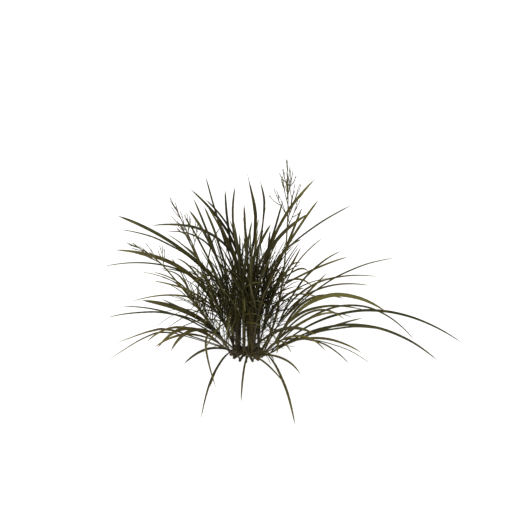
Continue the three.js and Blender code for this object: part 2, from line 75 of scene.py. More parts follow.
BLADE_SHARED_PART = 0.3
BLADE_TAPER = 4
BLADE_ROOT_WIDTH = 0.5
BLADE_FULL_WIDTH_AT = 0.3
BLADE_TIP_WIDTH = 1.4
BLADE_TURNED_AT = 0.5
TURN_TO_FRONT = (0.35, 1.15)
LOOSE_TURN = 0.25
ROOT_SHARE = (0.93, 0.99)
LOWEST_TIP = 1

PANICLE_GAP = 0.35
BRANCH_COUNT = 11
BRANCHES_ALONG = (0.06, 0.84)
BRANCH_SHORTEST = 0.3
BRANCH_SHAPE = (0.55, 0.4, 0.34)

CELL = 3
SAMPLE_STEP = 1.4
SIDEWAYS_TRIES = [0, 8, -8, 16, -16, 26, -26]
DEPTH_TRIES = [0, 10, -10, 20, -20, 30, -30, 42, -42, 55, -55]
BEND_SIDEWAYS_PART = 0.6
TIP_DEPTH_PART = 0.6
FALL_PER_DEPTH = 0.577

FILL_CANDIDATES = 90
FILL_SPACING = 4.6
FILL_CLEARANCE = 11
FILL_TURN = 0.4
FILL_HEIGHT_SPREAD = (0.8, 1.15)
FILL_SEED = 7919
SHOOT_SEED = 104729
FILL_HEIGHT_OUTWARD = (210, 80)
FILL_LEAN_OUTWARD = (0.02, 0.3)
STEM_BEND_OUT = 0.3
STEM_BEND_UP = 0.55
LONG_BLADES = 6
LONG_ROW = {
    "leave": (0.5, 1), "turn": (-1.5, 1.5), "tilt": (0.12, 0.62), "tilt_part": (0.3, 1.1),
    "length": (150, 275), "droop": (1.1, 1.7), "width": (4.5, 7),
}
SHORT_BLADES = 3
SHORT_ROW = {
    "leave": (0.2, 0.75), "turn": (-2, 2), "tilt": (0.25, 0.75), "tilt_part": (0, 1),
    "length": (90, 210), "droop": (1.2, 2.4), "width": (4, 5.5),
}
SHORT_BLADES_FROM = 100
LEANING_BEND_TILT = 0.6
LEANING_BEND_REACH = 0.55
LEANING_TIP_REACH = 0.95
TRIES_PER_BLADE = 3
GOLDEN_ANGLE = math.pi * (3 - math.sqrt(5))

# Shoots placed as in the solids' source: the stem's foot, the bend that it leans towards,
# its head, its blades and, where it flowers, its panicle's tip and longest branch. A blade's row
# is: where it leaves the stem, from foot 0 to head 1; the point that it bends towards; its tip;
# its width; and, where the bend is sharper than an arc, how sharp.

PLACED_SHOOTS = {
    "left_high": ((-19, 20), (-30, 27, 95), (-56, 34, 185), [
        (0.95, -150, 45, 300, -298, 70, 345, 10), (0.8, -140, 25, 315, -286, 20, 335, 7),
        (0.6, -140, 20, 285, -340, 40, 225, 6), (1, -65, 40, 330, -190, 60, 310, 7),
        (0.7, -95, 60, 260, -150, 110, 330, 7),
    ]),
    "left_middle": ((-30, 6), (-44, 5, 75), (-82, -4, 145), [
        (0.9, -125, -10, 290, -303, -20, 305, 13), (0.8, -100, -35, 212, -207, -60, 247, 8),
        (0.6, -110, -5, 210, -274, -10, 157, 8), (1, -115, 10, 250, -160, 15, 262, 6),
        (0.9, -95, -15, 240, -125, -25, 330, 7),
    ]),
    "left_low": ((-38, -14), (-46, -17, 38), (-74, -27, 82), [
        (0.9, -115, -50, 170, -232, -90, 215, 14), (0.7, -102, -40, 137, -194, -60, 198, 8),
        (0.6, -130, -120, 240, -318, -80, 160, 8), (0.5, -145, -50, 170, -288, -60, 178, 6),
    ]),
    "left_front": ((-30, -27), (-37, -34, 28), (-57, -50, 58), [
        (0.9, -194, -65, 127, -320, -80, 80, 8, 5), (0.7, -203, -58, 120, -346, -55, 8, 6, 4),
        (0.8, -150, -70, 178, -227, -95, 103, 7), (1, -134, -80, 187, -200, -110, 97, 10),
        (0.9, -125, -90, 164, -200, -130, 118, 7),
    ]),
    "front_left": ((-15, -38), (-19, -46, 28), (-30, -60, 60), [
        (0.9, -114, -95, 200, -164, -140, 114, 10), (0.5, -83, -100, 118, -139, -140, 74, 9),
        (0.9, -78, -140, 80, -96, -240, 2, 9), (0.8, -60, -110, 77, -79, -180, 38, 6),
        (1, -121, -110, 223, -62, -190, 52, 7),
    ]),
    "arch_left": ((-14, -3), (-22, -7, 110), (-38, -13, 185), [
        (1, -67, -40, 287, -124, -60, 236, 8), (0.9, -68, -10, 319, -122, -20, 405, 8),
        (0.8, -47, -20, 310, -87, -40, 424, 7), (0.7, -68, 15, 287, -115, 20, 415, 8),
        (0.6, -62, -30, 230, -100, -55, 330, 7),
    ]),
    "right_high": ((30, 29), (35, 34, 105), (53, 43, 195), [
        (1, 45, 50, 320, 162, 80, 437, 9), (0.86, 97, 35, 295, 169, 50, 398, 8),
        (0.8, 98, 45, 268, 132, 70, 366, 7), (0.7, 149, 40, 221, 246, 60, 240, 6),
    ]),
    "upright_left": ((-5, 15), (-7, 20, 125), (-11, 27, 235), [
        (0.9, -10, 40, 315, -125, 60, 419, 8), (0.95, -54, 60, 350, -230, 110, 298, 9),
        (0.8, -42, 10, 303, -44, 30, 432, 8), (1, -13, 60, 313, -94, 90, 379, 6),
        (0.7, -57, 50, 313, -89, 80, 439, 6),
    ]),
    "upright_middle": ((8, 3), (9, 5, 135), (13, 8, 255), [
        (1, 27, 14, 378, 5, 30, 473, 8, 5), (0.9, -43, -5, 314, -20, -20, 462, 8),
        (0.8, 2, -15, 288, -1, -30, 424, 8),
    ]),
    "upright_right": ((22, 16), (25, 21, 125), (31, 28, 235), [
        (1, 46, 38, 400, 34, 50, 445, 7, 5), (0.9, 57, 15, 287, 85, 20, 408, 8),
        (0.7, 80, 135, 240, 255, 110, 355, 6),
    ]),
    "middle_front": ((-5, -18), (-7, -23, 115), (-6, -30, 205), [
        (1, 0, -40, 290, 16, -60, 398, 7), (0.9, -11, -25, 276, -27, -50, 400, 8),
        (0.8, 11, -20, 286, 58, -40, 381, 8),
    ]),
    "culm_nodding": ((-42, -1), (-125, -4, 160), (-185, -10, 251), [
        (0.5, -130, -40, 200, -170, -60, 240, 6), (0.65, -140, 20, 225, -200, 40, 215, 6),
    ], ((-266, -5, 314), 52)),
    "culm_left": ((-33, 22), (-75, 34, 140), (-120, 50, 265), [
        (0.7, -120, 60, 240, -160, 70, 330, 6),
    ], ((-172, 60, 396), 62)),
    "culm_right": ((42, 7), (88, 9, 85), (97, 42, 318), [
        (0.72, 128, 30, 240, 149, 30, 218, 7), (0.74, 108, 40, 245, 132, 45, 232, 5),
        (0.7, 128, 5, 228, 158, 0, 194, 6),
    ], ((94, 50, 493), 92)),
    "right_inner": ((19, -10), (23, -11, 105), (40, -12, 185), [
        (1, 20, -12, 310, 143, -20, 398, 10), (0.9, 99, -15, 235, 126, -30, 318, 7),
        (0.8, 61, -30, 310, 125, -60, 354, 7), (0.7, 53, -10, 246, 56, -20, 355, 7),
        (0.6, 60, -30, 230, 95, -40, 345, 7),
    ]),
    "right_middle": ((45, -9), (60, -6, 48), (84, 4, 92), [
        (1, 130, 5, 239, 224, 10, 285, 8), (0.8, 195, 60, 212, 371, 110, 208, 6),
        (0.9, 132, 30, 230, 324, 50, 190, 8), (0.7, 134, 50, 201, 306, 90, 141, 6),
        (1, 127, -15, 163, 188, -20, 243, 8),
    ]),
    "right_low": ((40, -22), (56, -28, 33), (80, -35, 62), [
        (0.9, 162, -40, 279, 330, -60, 160, 14), (1, 133, 0, 204, 240, 0, 156, 8),
        (0.8, 126, 15, 169, 301, 30, 103, 10), (0.9, 160, -30, 201, 235, -40, 126, 7),
        (0.7, 177, 10, 149, 265, 30, 82, 6),
    ]),
    "right_far": ((31, -34), (46, -45, 24), (70, -56, 46), [
        (0.9, 263, -40, 207, 471, -50, 8, 10), (1, 269, 0, 238, 550, 20, 8, 9),
        (0.8, 229, -25, 284, 403, -30, 60, 7), (0.7, 204, -60, 151, 333, -90, 130, 7),
        (1, 163, 0, 66, 292, 30, 82, 8),
    ]),
    "front_right": ((17, -39), (28, -52, 24), (50, -68, 50), [
        (1, 93, -150, 52, 110, -260, 2, 10), (0.9, 123, -50, 150, 203, -60, 165, 9),
        (0.8, 159, -70, 144, 273, -90, 67, 8), (0.7, 123, -90, 169, 181, -130, 106, 7),
        (0.9, 80, -80, 131, 104, -130, 101, 6), (1, 85, -90, 133, 70, -150, 116, 7),
    ]),
    "front": ((1, -42), (4, -56, 24), (9, -72, 52), [
        (0.9, 82, -90, 178, 161, -110, 134, 11), (0.8, 44, -110, 71, 85, -190, 64, 6),
        (0.9, 53, -90, 90, 66, -140, 83, 6), (0.7, 93, -90, 81, 125, -150, 56, 6),
        (0.9, -5, -120, 70, -9, -186, 2, 7),
    ]),
}

DRAW_TIMES = 1664525
DRAW_PLUS = 1013904223
DRAW_RANGE = 2**32


def between(low, high, share):
    return low + (high - low) * share


def seeded_draw(seed):
    """A function that draws the next number, from low to high, the same on every run."""
    def draw(low=0, high=1):
        nonlocal seed
        seed = (seed * DRAW_TIMES + DRAW_PLUS) % DRAW_RANGE
        return between(low, high, seed / DRAW_RANGE)

    return draw


def even_shares(steps):
    """Shares from 0 to 1 in even steps."""
    return np.arange(steps + 1) / steps


def angles_round(sides):
    return 2 * math.pi * np.arange(sides) / sides


# The space that the shoots hold, kept as a grid of cubes with the number of each one's holder

GRID_LOW = np.array([-180, -140, -20])
GRID_SIZE = (400, 280, 220)
FREE = 0
SHARED = -1
held = np.zeros(GRID_SIZE, dtype=np.int16)
holders = {}
NEIGHBOURS = np.array([(x, y, z) for x in (-1, 0, 1) for y in (-1, 0, 1) for z in (-1, 0, 1)])


def holder_number(owner):
    return holders.setdefault(owner, len(holders) + 1)


def cells_of(points):
    return np.floor(points / CELL).astype(int) - GRID_LOW


def is_free(points, owner):
    over_crown = (points[:, 2] < CROWN_CLEARANCE) & (
        np.hypot(points[:, 0], points[:, 1]) < CROWN_RADIUS + CROWN_KNOB_RADIUS)
    if over_crown.any():
        return False
    holder = held[tuple(cells_of(points).T)]
    return bool(np.all((holder == FREE) | (holder == holder_number(owner))))


def hold(points, owner):
    number = holder_number(owner)
    cells = np.unique(cells_of(points), axis=0)
    for step in NEIGHBOURS:
        place = tuple((cells + step).T)
        holder = held[place]
        held[place] = np.where((holder == FREE) | (holder == number), number, SHARED)


# Curves

TANGENT_STEP = 0.0001


def vector(*numbers):
    return np.array(numbers, dtype=float)


def unit(vectors):
    return vectors / np.linalg.norm(vectors, axis=-1, keepdims=True)


class BendingCurve:
    """An arc from a root towards a bend and on to a tip, closer to the bend the sharper it is."""

    def __init__(self, root, bend, tip, sharpness=1.0):
        self.root, self.bend, self.tip, self.sharpness = root, bend, tip, sharpness

    def points(self, shares):
        shares = np.atleast_1d(shares)[:, None]
        root_pull = (1 - shares) ** 2
        bend_pull = 2 * self.sharpness * shares * (1 - shares)
        tip_pull = shares ** 2
        pulled = self.root * root_pull + self.bend * bend_pull + self.tip * tip_pull
        return pulled / (root_pull + bend_pull + tip_pull)

    def point(self, share):
        return self.points(share)[0]

    def tangents(self, shares):
        shares = np.atleast_1d(shares)
        behind = self.points(np.maximum(shares - TANGENT_STEP, 0))
        ahead = self.points(np.minimum(shares + TANGENT_STEP, 1))
        return unit(ahead - behind)

    def rough_length(self):
        legs = (self.root - self.tip, self.root - self.bend, self.bend - self.tip)
        return sum(np.linalg.norm(leg) for leg in legs) / 2


def face_directions(curve, shares, twist):
    """Directions across a curve's upper face and out of it, turned by a twist about the curve."""
    along = curve.tangents(shares)
    heading = curve.tip - curve.root
    across = vector(-heading[1], heading[0], 0) / math.hypot(heading[0], heading[1])
    across = unit(across - along * (along @ across)[:, None])
    out = np.cross(along, across)
    twist = np.broadcast_to(twist, len(along))[:, None]
    turned = across * np.cos(twist) + out * np.sin(twist)
    return turned, np.cross(along, turned)


def ring_points(curve, shares, radii, sides):
    """Rings of points round a curve, one for each share and radius."""
    across, out = face_directions(curve, shares, 0)
    angles = angles_round(sides)
    spokes = across[:, None] * np.cos(angles)[:, None] + out[:, None] * np.sin(angles)[:, None]
    radii = np.broadcast_to(radii, len(across))
    return curve.points(shares)[:, None] + spokes * radii[:, None, None]


def side_curve(curve, share, turn, length, shape):
    """A curve from the side of another; its shape is its lean, and its bend's parts up and out."""
    lean, bend_up, bend_out = shape
    root, along = curve.point(share), curve.tangents(share)[0]
    out = face_directions(curve, share, turn)[1][0]
    bend = root + along * length * bend_up + out * length * bend_out
    tip = root + along * length * math.cos(lean) + out * length * math.sin(lean)
    return BendingCurve(root, bend, tip)


# The growing rule, as in the solids' source

@dataclass
class Blade:
    curve: BendingCurve
    width: float
    twist: float
    leave: float


@dataclass
class Shoot:
    name: str
    foot: tuple
    curve: BendingCurve
    rows: list
    long_blades: int
    panicle: tuple = None
    blades: list = field(default_factory=list)
    draw: object = None


def stem_radius_at(share):
    return between(STEM_FOOT_RADIUS, STEM_HEAD_RADIUS, share)


def blade_width_at(shares, width, taper=BLADE_TAPER):
    opened = np.minimum(1, shares / BLADE_FULL_WIDTH_AT)
    grown = between(BLADE_ROOT_WIDTH, 1, np.sin(opened * math.pi / 2))
    return BLADE_TIP_WIDTH + (width - BLADE_TIP_WIDTH) * grown * (1 - shares ** taper)


def blade_turn_at(shares, twist):
    return twist * np.sin(np.minimum(1, shares / BLADE_TURNED_AT) * math.pi / 2)


def sample_shares(curve, start=0, end=1):
    steps = math.ceil(curve.rough_length() * (end - start) / SAMPLE_STEP)
    return between(start, end, even_shares(steps))


def blade_points(curve, width, twist, start, end):
    half_samples = math.ceil(width / 2 / SAMPLE_STEP)
    shares = sample_shares(curve, start, end)
    across, _ = face_directions(curve, shares, blade_turn_at(shares, twist))
    offsets = np.arange(-half_samples, half_samples + 1) / half_samples
    half_widths = blade_width_at(shares, width) / 2
    reach = across[:, None] * (half_widths[:, None] * offsets)[:, :, None]
    return (curve.points(shares)[:, None] + reach).reshape(-1, 3)


def stem_points(curve):
    shares = sample_shares(curve)
    rings = ring_points(curve, shares, stem_radius_at(shares), STEM_SIDES)
    return np.concatenate([curve.points(shares), rings.reshape(-1, 3)])


def clear_blade(owner, root, row, twist, leave):
    """The first place within the tries where the blade passes clear, or None."""
    bend_at, tip_at = vector(*row[:3]), vector(*row[3:6])
    width, *sharpness = row[6:]
    heading = unit(vector(tip_at[0] - root[0], tip_at[1] - root[1]))
    sideways = vector(-heading[1], heading[0], 0)
    past_others = vector(0, 1, -FALL_PER_DEPTH)
    for shift in SIDEWAYS_TRIES:
        for depth in DEPTH_TRIES:
            bend = bend_at + sideways * shift * BEND_SIDEWAYS_PART + past_others * depth
            tip = tip_at + sideways * shift + past_others * depth * TIP_DEPTH_PART
            tip[2] = max(LOWEST_TIP, tip[2])
            curve = BendingCurve(root, bend, tip, *sharpness)
            inner = blade_points(curve, width, twist, 0, BLADE_SHARED_PART)
            if not is_free(inner, owner):
                continue
            outer = blade_points(curve, width, twist, BLADE_SHARED_PART, 1)
            if is_free(outer, owner):
                hold(inner, owner)
                hold(outer, f"{owner}, past its root")
                return Blade(curve, width, twist, leave)
    return None


def panicle_curves(stem, tip, branch):
    """A panicle's axis, which starts just past its stem's head, and its branches."""
    upward = stem.tangents(1)[0]
    foot = stem.point(1) + upward * PANICLE_GAP
    bend = foot + upward * np.linalg.norm(tip - foot) / 2
    rachis = BendingCurve(foot, bend, tip)
    branches = []
    for index in range(BRANCH_COUNT):
        rise = index / (BRANCH_COUNT - 1)
        share = between(*BRANCHES_ALONG, rise)
        length = branch * between(1, BRANCH_SHORTEST, rise)
        branches.append(side_curve(rachis, share, index * GOLDEN_ANGLE, length, BRANCH_SHAPE))
    return rachis, branches


def outward_share(foot):
    return math.hypot(*foot) / CROWN_RADIUS


def outward_turn(foot):
    return math.atan2(foot[1], foot[0])


def stem_curve(foot, bend, head):
    return BendingCurve(vector(*foot, PEG_HEIGHT), vector(*bend), vector(*head))


def fill_shoot(name, foot, draw):
    outward = outward_share(foot)
    turn = outward_turn(foot) + draw(-FILL_TURN, FILL_TURN)
    height = between(*FILL_HEIGHT_OUTWARD, outward) * draw(*FILL_HEIGHT_SPREAD)
    lean = between(*FILL_LEAN_OUTWARD, outward) * height
    head = (foot[0] + lean * math.cos(turn), foot[1] + lean * math.sin(turn), height)
    aside = (between(start, end, STEM_BEND_OUT) for start, end in zip(foot, head))
    bend = (*aside, height * STEM_BEND_UP)
    return Shoot(name, foot, stem_curve(foot, bend, head), [], LONG_BLADES)


def all_shoots():
    shoots = []
    for name, (foot, bend, head, rows, *panicle) in PLACED_SHOOTS.items():
        curve = stem_curve(foot, bend, head)
        shoot = Shoot(name, foot, curve, rows, 0)
        if panicle:
            tip, branch = panicle[0]
            shoot.panicle = panicle_curves(curve, vector(*tip), branch)
        shoots.append(shoot)
    for candidate in range(FILL_CANDIDATES):
        distance = FILL_SPACING * math.sqrt(candidate)
        angle = candidate * GOLDEN_ANGLE
        foot = (distance * math.cos(angle), distance * math.sin(angle))
        apart = all(math.dist(foot, shoot.foot) > FILL_CLEARANCE for shoot in shoots)
        if distance < CROWN_RADIUS - CROWN_KNOB_RADIUS and apart:
            number = len(shoots) + 1
            shoots.append(fill_shoot(f"fill_{number}", foot, seeded_draw(number * FILL_SEED)))
    return shoots


def leaning_curve(root, turn, tilt, length, droop):
    """A curve that leaves its root at a tilt and droops on its way."""
    out, up = vector(math.cos(turn), math.sin(turn), 0), vector(0, 0, 1)
    bend = (length * LEANING_BEND_REACH, tilt * LEANING_BEND_TILT)
    tip = (length * LEANING_TIP_REACH, tilt * droop)
    points = (
        root + out * (reach * math.sin(lean)) + up * (reach * math.cos(lean))
        for reach, lean in (bend, tip)
    )
    return BendingCurve(root, *points)


def seeded_row(shoot, root, ranges, tilt_times):
    turn = outward_turn(shoot.foot) + shoot.draw(*ranges["turn"])
    tilt = between(*ranges["tilt"], tilt_times * shoot.draw(*ranges["tilt_part"]))
    length, droop, width = (shoot.draw(*ranges[size]) for size in ("length", "droop", "width"))
    curve = leaning_curve(root, turn, tilt, length, droop)
    return (*curve.bend, *curve.tip, width)


def grow_blade(shoot, leave, row):
    leave = leave * shoot.draw(*ROOT_SHARE)
    root = shoot.curve.point(leave)
    aside = (row[3] - root[0]) / math.hypot(row[3] - root[0], row[4] - root[1])
    turn = aside * shoot.draw(*TURN_TO_FRONT)
    twist = turn + shoot.draw(-LOOSE_TURN, LOOSE_TURN)
    blade = clear_blade(shoot.name, root, row, twist, leave)
    if blade:
        shoot.blades.append(blade)


def grow_seeded(shoot, count, ranges, tilt_times):
    wanted = len(shoot.blades) + count
    for _ in range(count * TRIES_PER_BLADE):
        if len(shoot.blades) == wanted:
            break
        leave = shoot.draw(*ranges["leave"])
        root = shoot.curve.point(leave)
        grow_blade(shoot, leave, seeded_row(shoot, root, ranges, tilt_times))


def grow_shoots():
    shoots = all_shoots()
    for index, shoot in enumerate(shoots):
        shoot.draw = seeded_draw(index * SHOOT_SEED + 1)
        hold(stem_points(shoot.curve), shoot.name)
        if shoot.panicle:
            rachis, branches = shoot.panicle
            lines = [line.points(sample_shares(line)) for line in (rachis, *branches)]
            hold(np.concatenate(lines), f"{shoot.name}, its panicle")
    for shoot in shoots:
        for leave, *row in shoot.rows:
            grow_blade(shoot, leave, row)
    for shoot in shoots:
        grow_seeded(shoot, shoot.long_blades, LONG_ROW, outward_share(shoot.foot))
    for shoot in shoots:
        if shoot.curve.tip[2] > SHORT_BLADES_FROM:
            grow_seeded(shoot, SHORT_BLADES, SHORT_ROW, 1)
    return shoots


# Pieces. Each point carries what its material reads: its place on the leaf or stem in millimetres
# and as a share of the length, and the tone, dryness and lightness of the part it belongs to.

def add_object(name, data):
    thing = bpy.data.objects.new(name, data)
    bpy.context.scene.collection.objects.link(thing)
    return thing


class Piece:
    """Skinned parts gathered into one mesh."""

    def __init__(self):
        self.points, self.faces, self.slots = [], [], []
        self.layers = {"place": [], "kind": []}
        self.count = 0

    def skin(self, rings, places, kind, slot=0):
        """Adds a closed body over rings of points; kind is (tone, dryness, lightness)."""
        self.points.append(rings.reshape(-1, 3))
        for label, values in (("place", places), ("kind", kind)):
            self.layers[label].append(np.broadcast_to(values, rings.shape).reshape(-1, 3))
        corners = np.arange(self.count, self.count + rings[..., 0].size)
        corners = corners.reshape(rings.shape[:2])
        beside = np.roll(corners, -1, axis=1)
        quads = np.stack([corners[:-1], beside[:-1], beside[1:], corners[1:]], axis=-1)
        ends = [corners[0, ::-1].tolist(), corners[-1].tolist()]
        faces = quads.reshape(-1, 4).tolist() + ends
        self.faces += faces
        self.slots += [slot] * len(faces)
        self.count += corners.size

    def finish(self, name, materials, record_slot, *nodes, sharp_angle=60):
        mesh = bpy.data.meshes.new(name)
        points = np.concatenate(self.points) * MM
        mesh.from_pydata(points.tolist(), [], self.faces)
        mesh.polygons.foreach_set("material_index", self.slots)
        for label, values in self.layers.items():
            attribute = mesh.attributes.new(label, "FLOAT_VECTOR", "POINT")
            attribute.data.foreach_set("vector", np.concatenate(values).ravel())
        for material in materials:
            mesh.materials.append(material)
        mesh.shade_smooth()
        mesh.set_sharp_from_angle(angle=math.radians(sharp_angle))
        piece = add_object(name, mesh)
        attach(piece, "root")
        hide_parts(*nodes)


def places_of(across, lengths, shares):
    """Places for rings: across and along in millimetres, and the share of the length."""
    places = np.broadcast_arrays(across, lengths[:, None], shares[:, None])
    return np.stack(places, axis=-1)


# Blades: a folded strip with a keel under its midrib, a ripple along its edges and a fine tip

UPPER_SIDE = np.array([1, 0.62, 0.3, 0.08, 0, -0.08, -0.3, -0.62, -1])
LOWER_SIDE = np.array([-0.97, -0.6, -0.28, -0.1, 0, 0.1, 0.28, 0.6, 0.97])
SECTION = np.concatenate([UPPER_SIDE, LOWER_SIDE])
IS_LOWER = np.concatenate([np.zeros(len(UPPER_SIDE)), np.ones(len(LOWER_SIDE))])
BLADE_STEP = 6
BLADE_THICKNESS_INWARD = (0.16, 0.36)
KEEL_DEPTH = 0.28
KEEL_WIDTH = 0.09
KEEL_FULL_WIDTH = 4
RIPPLE_LENGTH = 17
RIPPLE_HEIGHT = 0.045
RIPPLE_TO_EDGE = 3
RIPPLE_SHIFT = 2
WAVE_LENGTH = 95
WAVE_HEIGHT = 0.9
FOLD_AT_ROOT = 1.1
FOLD_OPEN = (0.3, 0.62)
FOLD_OPEN_AT = 0.65
FOLD_LEVEL = 0.45
MIDRIB_ROUNDING = 0.12
SEEN_TAPER = (3.5, 8)
SEEN_WIDTH = (0.73, 0.92)
UPRIGHT_TAPER = (9, 16)
UPRIGHT_WIDTH = (0.72, 0.94)
UPRIGHT_FROM = 345
UPRIGHT_LOOSE_TURN = 0.5
POINT_PART = 0.05
POINT_ROUNDING = 0.7
FINEST_TIP = 0.45
FEWEST_STEPS = 8

# The tallest leaf in the photograph is broader than the rest, and is its shoot's first
BROAD_FIRST_LEAF = {"upright_middle": 1.4}


def blade_section(shares, widths, lengths, phase, root_fold, open_fold):
    """Offsets across and out of a blade's face: folded at its root, opening outwards."""
    width = widths[:, None]
    opening = np.sin(np.minimum(1, shares / FOLD_OPEN_AT) * math.pi / 2)
    angle = between(root_fold, open_fold, opening)[:, None]
    from_midrib = np.sqrt(SECTION**2 + MIDRIB_ROUNDING**2) - MIDRIB_ROUNDING
    rise = (from_midrib - FOLD_LEVEL) * width / 2 * np.sin(angle)
    wave = 2 * math.pi * lengths[:, None] / RIPPLE_LENGTH + phase + SECTION * RIPPLE_SHIFT
    ripple = RIPPLE_HEIGHT * width * np.abs(SECTION) ** RIPPLE_TO_EDGE * np.sin(wave)
    thickness = between(*BLADE_THICKNESS_INWARD, 1 - np.abs(SECTION))
    keel = KEEL_DEPTH * np.exp(-(SECTION / KEEL_WIDTH) ** 2)
    under = (thickness + keel) * np.minimum(1, width / KEEL_FULL_WIDTH) * IS_LOWER
    return SECTION * width / 2 * np.cos(angle), rise + ripple - under


def turned_to_front(curve, twist):
    """An upright blade's twist, moved until its face looks roughly to the front or back."""
    heading = math.atan2(curve.tip[1] - curve.root[1], curve.tip[0] - curve.root[0])
    facing = heading + twist
    frontal = math.pi * (round(facing / math.pi - 0.5) + 0.5)
    gap = frontal - facing
    return twist + math.copysign(max(0, abs(gap) - UPRIGHT_LOOSE_TURN), gap)


def add_blade(piece, curve, width, twist, kind, draw, slot=0, step=BLADE_STEP,
              root_fold=FOLD_AT_ROOT):
    length = curve.rough_length()
    shares = even_shares(max(FEWEST_STEPS, math.ceil(length / step)))
    lengths = shares * length
    part, taper = SEEN_WIDTH, SEEN_TAPER
    if curve.tip[2] > UPRIGHT_FROM:
        part, taper = UPRIGHT_WIDTH, UPRIGHT_TAPER
        twist = turned_to_front(curve, twist)
    width = width * draw(*part)
    seen = blade_width_at(shares, width, draw(*taper))
    narrowing = np.minimum(1, (1 - shares) / POINT_PART) ** POINT_ROUNDING
    widths = np.maximum(FINEST_TIP, seen * narrowing)
    across, out = face_directions(curve, shares, blade_turn_at(shares, twist))
    phase = draw() * 2 * math.pi
    wave = np.sin(2 * math.pi * lengths / WAVE_LENGTH + phase)
    swing = wave * np.sin(shares * math.pi) * WAVE_HEIGHT
    centres = curve.points(shares) + out * swing[:, None]
    open_fold = draw(*FOLD_OPEN)
    aside, outward = blade_section(shares, widths, lengths, phase, root_fold, open_fold)
    offsets = across[:, None] * aside[:, :, None] + out[:, None] * outward[:, :, None]
    piece.skin(centres[:, None] + offsets, places_of(aside, lengths, shares), kind, slot)


# Stems, in the leaf sheaths that wrap them

STEM_ROUND = 12
STEM_STEP = 5
STEM_FEWEST_STEPS = 12
STEM_FROM = 0.012
LOWEST_NODE = 0.04
NODE_SWELLING = 0.35
NODE_LENGTH = 0.02
FILL_STEM_PART = 0.55
FLOWER_STEM_PART = 1.15
PLACED_STEM_PART = 0.8
SHEATH_SHARE = 0.3
SHEATH_SHARE_SPREAD = (0.7, 1.3)
SHEATH_LOWEST = 0.02
SHEATH_THICKNESS = 0.32
SHEATH_SLANT = 0.012
SHEATH_PALER = 0.25
BLADE_LEAVES_AT = 0.05
NEVER_ZERO = np.array([1e-6, 0, 0])
SHEATH_RISE = np.array([0, 0.1, 0.35, 0.6, 0.85, 1, 1, 0.97])
SHEATH_SWELL = np.array([-0.1, 0.25, 0.6, 0.8, 0.9, 1, 0.45, 0.3])
SHEATH_MOUTH = np.array([0, 0, 0, 0, 0.3, 1, 1, 0.9])


def add_tube(piece, curve, shares, radii, kind, slot=0, sides=STEM_ROUND):
    radii = np.broadcast_to(radii, shares.shape)
    lengths = shares * curve.rough_length()
    places = places_of(angles_round(sides) * radii[:, None], lengths, shares)
    piece.skin(ring_points(curve, shares, radii, sides), places, kind, slot)


def add_peg(piece, curve, radius, kind, slot):
    """The upright foot of a stem, which stands in the crown."""
    heading = unit(vector(*(curve.tip - curve.root)[:2]))
    across, out = vector(-heading[1], heading[0], 0), vector(-heading[0], -heading[1], 0)
    angles = angles_round(STEM_ROUND)
    ring = radius * (across * np.cos(angles)[:, None] + out * np.sin(angles)[:, None])
    heights = (SOCKET_FLOOR + SOCKET_GAP, CROWN_HEIGHT, PEG_HEIGHT)
    rings = [ring + vector(*curve.root[:2], height) for height in heights]
    rings.append(ring_points(curve, STEM_FROM, radius, STEM_ROUND)[0])
    nowhere = np.zeros(len(rings))
    piece.skin(np.stack(rings), places_of(angles * radius, nowhere, nowhere), kind, slot)


def stem_part(shoot):
    """How thick a shoot's stem looks, as a part of the solid's."""
    if shoot.panicle:
        return FLOWER_STEM_PART
    return PLACED_STEM_PART if shoot.rows else FILL_STEM_PART


def add_stem(piece, shoot, kind, slot, draw):
    curve = shoot.curve
    steps = max(STEM_FEWEST_STEPS, math.ceil(curve.rough_length() / STEM_STEP))
    shares = between(STEM_FROM, 1, even_shares(steps))
    part = stem_part(shoot)
    radii = stem_radius_at(shares) * part
    for leave in sorted({round(blade.leave, 2) for blade in shoot.blades}):
        nearness = (shares - max(LOWEST_NODE, leave - SHEATH_SHARE)) / NODE_LENGTH
        radii = radii + NODE_SWELLING * np.exp(-nearness ** 2)
    add_peg(piece, curve, STEM_FOOT_RADIUS * part, kind, slot)
    add_tube(piece, curve, shares, radii, kind, slot)
    for blade in shoot.blades:
        add_sheath(piece, curve, blade, part, kind, slot, draw)


def add_sheath(piece, curve, blade, part, kind, slot, draw):
    """A thin sleeve from well down the stem up to where its blade leaves."""
    reach = SHEATH_SHARE * draw(*SHEATH_SHARE_SPREAD)
    shares = between(max(SHEATH_LOWEST, blade.leave - reach), blade.leave, SHEATH_RISE)
    radii = stem_radius_at(shares) * part + SHEATH_SWELL * SHEATH_THICKNESS
    rings = ring_points(curve, shares, radii, STEM_ROUND)
    leaving = blade.curve.tangents(BLADE_LEAVES_AT)[0]
    upward = curve.tangents(blade.leave)[0]
    towards = unit(leaving - upward * (leaving @ upward) + NEVER_ZERO)
    spokes = rings - curve.points(shares)[:, None]
    facing = (spokes @ towards) / np.linalg.norm(spokes, axis=-1)
    mouth = SHEATH_MOUTH * curve.rough_length() * SHEATH_SLANT
    rings = rings + upward * (facing * mouth[:, None])[:, :, None]
    arc = angles_round(STEM_ROUND) * STEM_HEAD_RADIUS
    places = places_of(arc, shares * curve.rough_length(), shares)
    tone, dryness, lightness = kind
    paler = min(1, lightness + SHEATH_PALER * draw())
    piece.skin(rings, places, (tone, dryness, paler), slot)


# Fine leaflets, threads and torn fibres that grow among the blades of each shoot

THREAD_SPACING = 9
THREAD_LEAVE = (0.42, 1)
THREAD_TILT = (0.15, 1.1)
THREAD_LENGTH = (50, 160)
THREAD_MOSTLY_SHORT = 1.5
THREAD_DROOP = (0.8, 1.5)
THREAD_WIDTH = (1.8, 3.4)
THREAD_TWIST = 0.5
THREAD_STEP = 7
THREAD_TILT_INSIDE = 0.4
BOX_MARGIN = 2

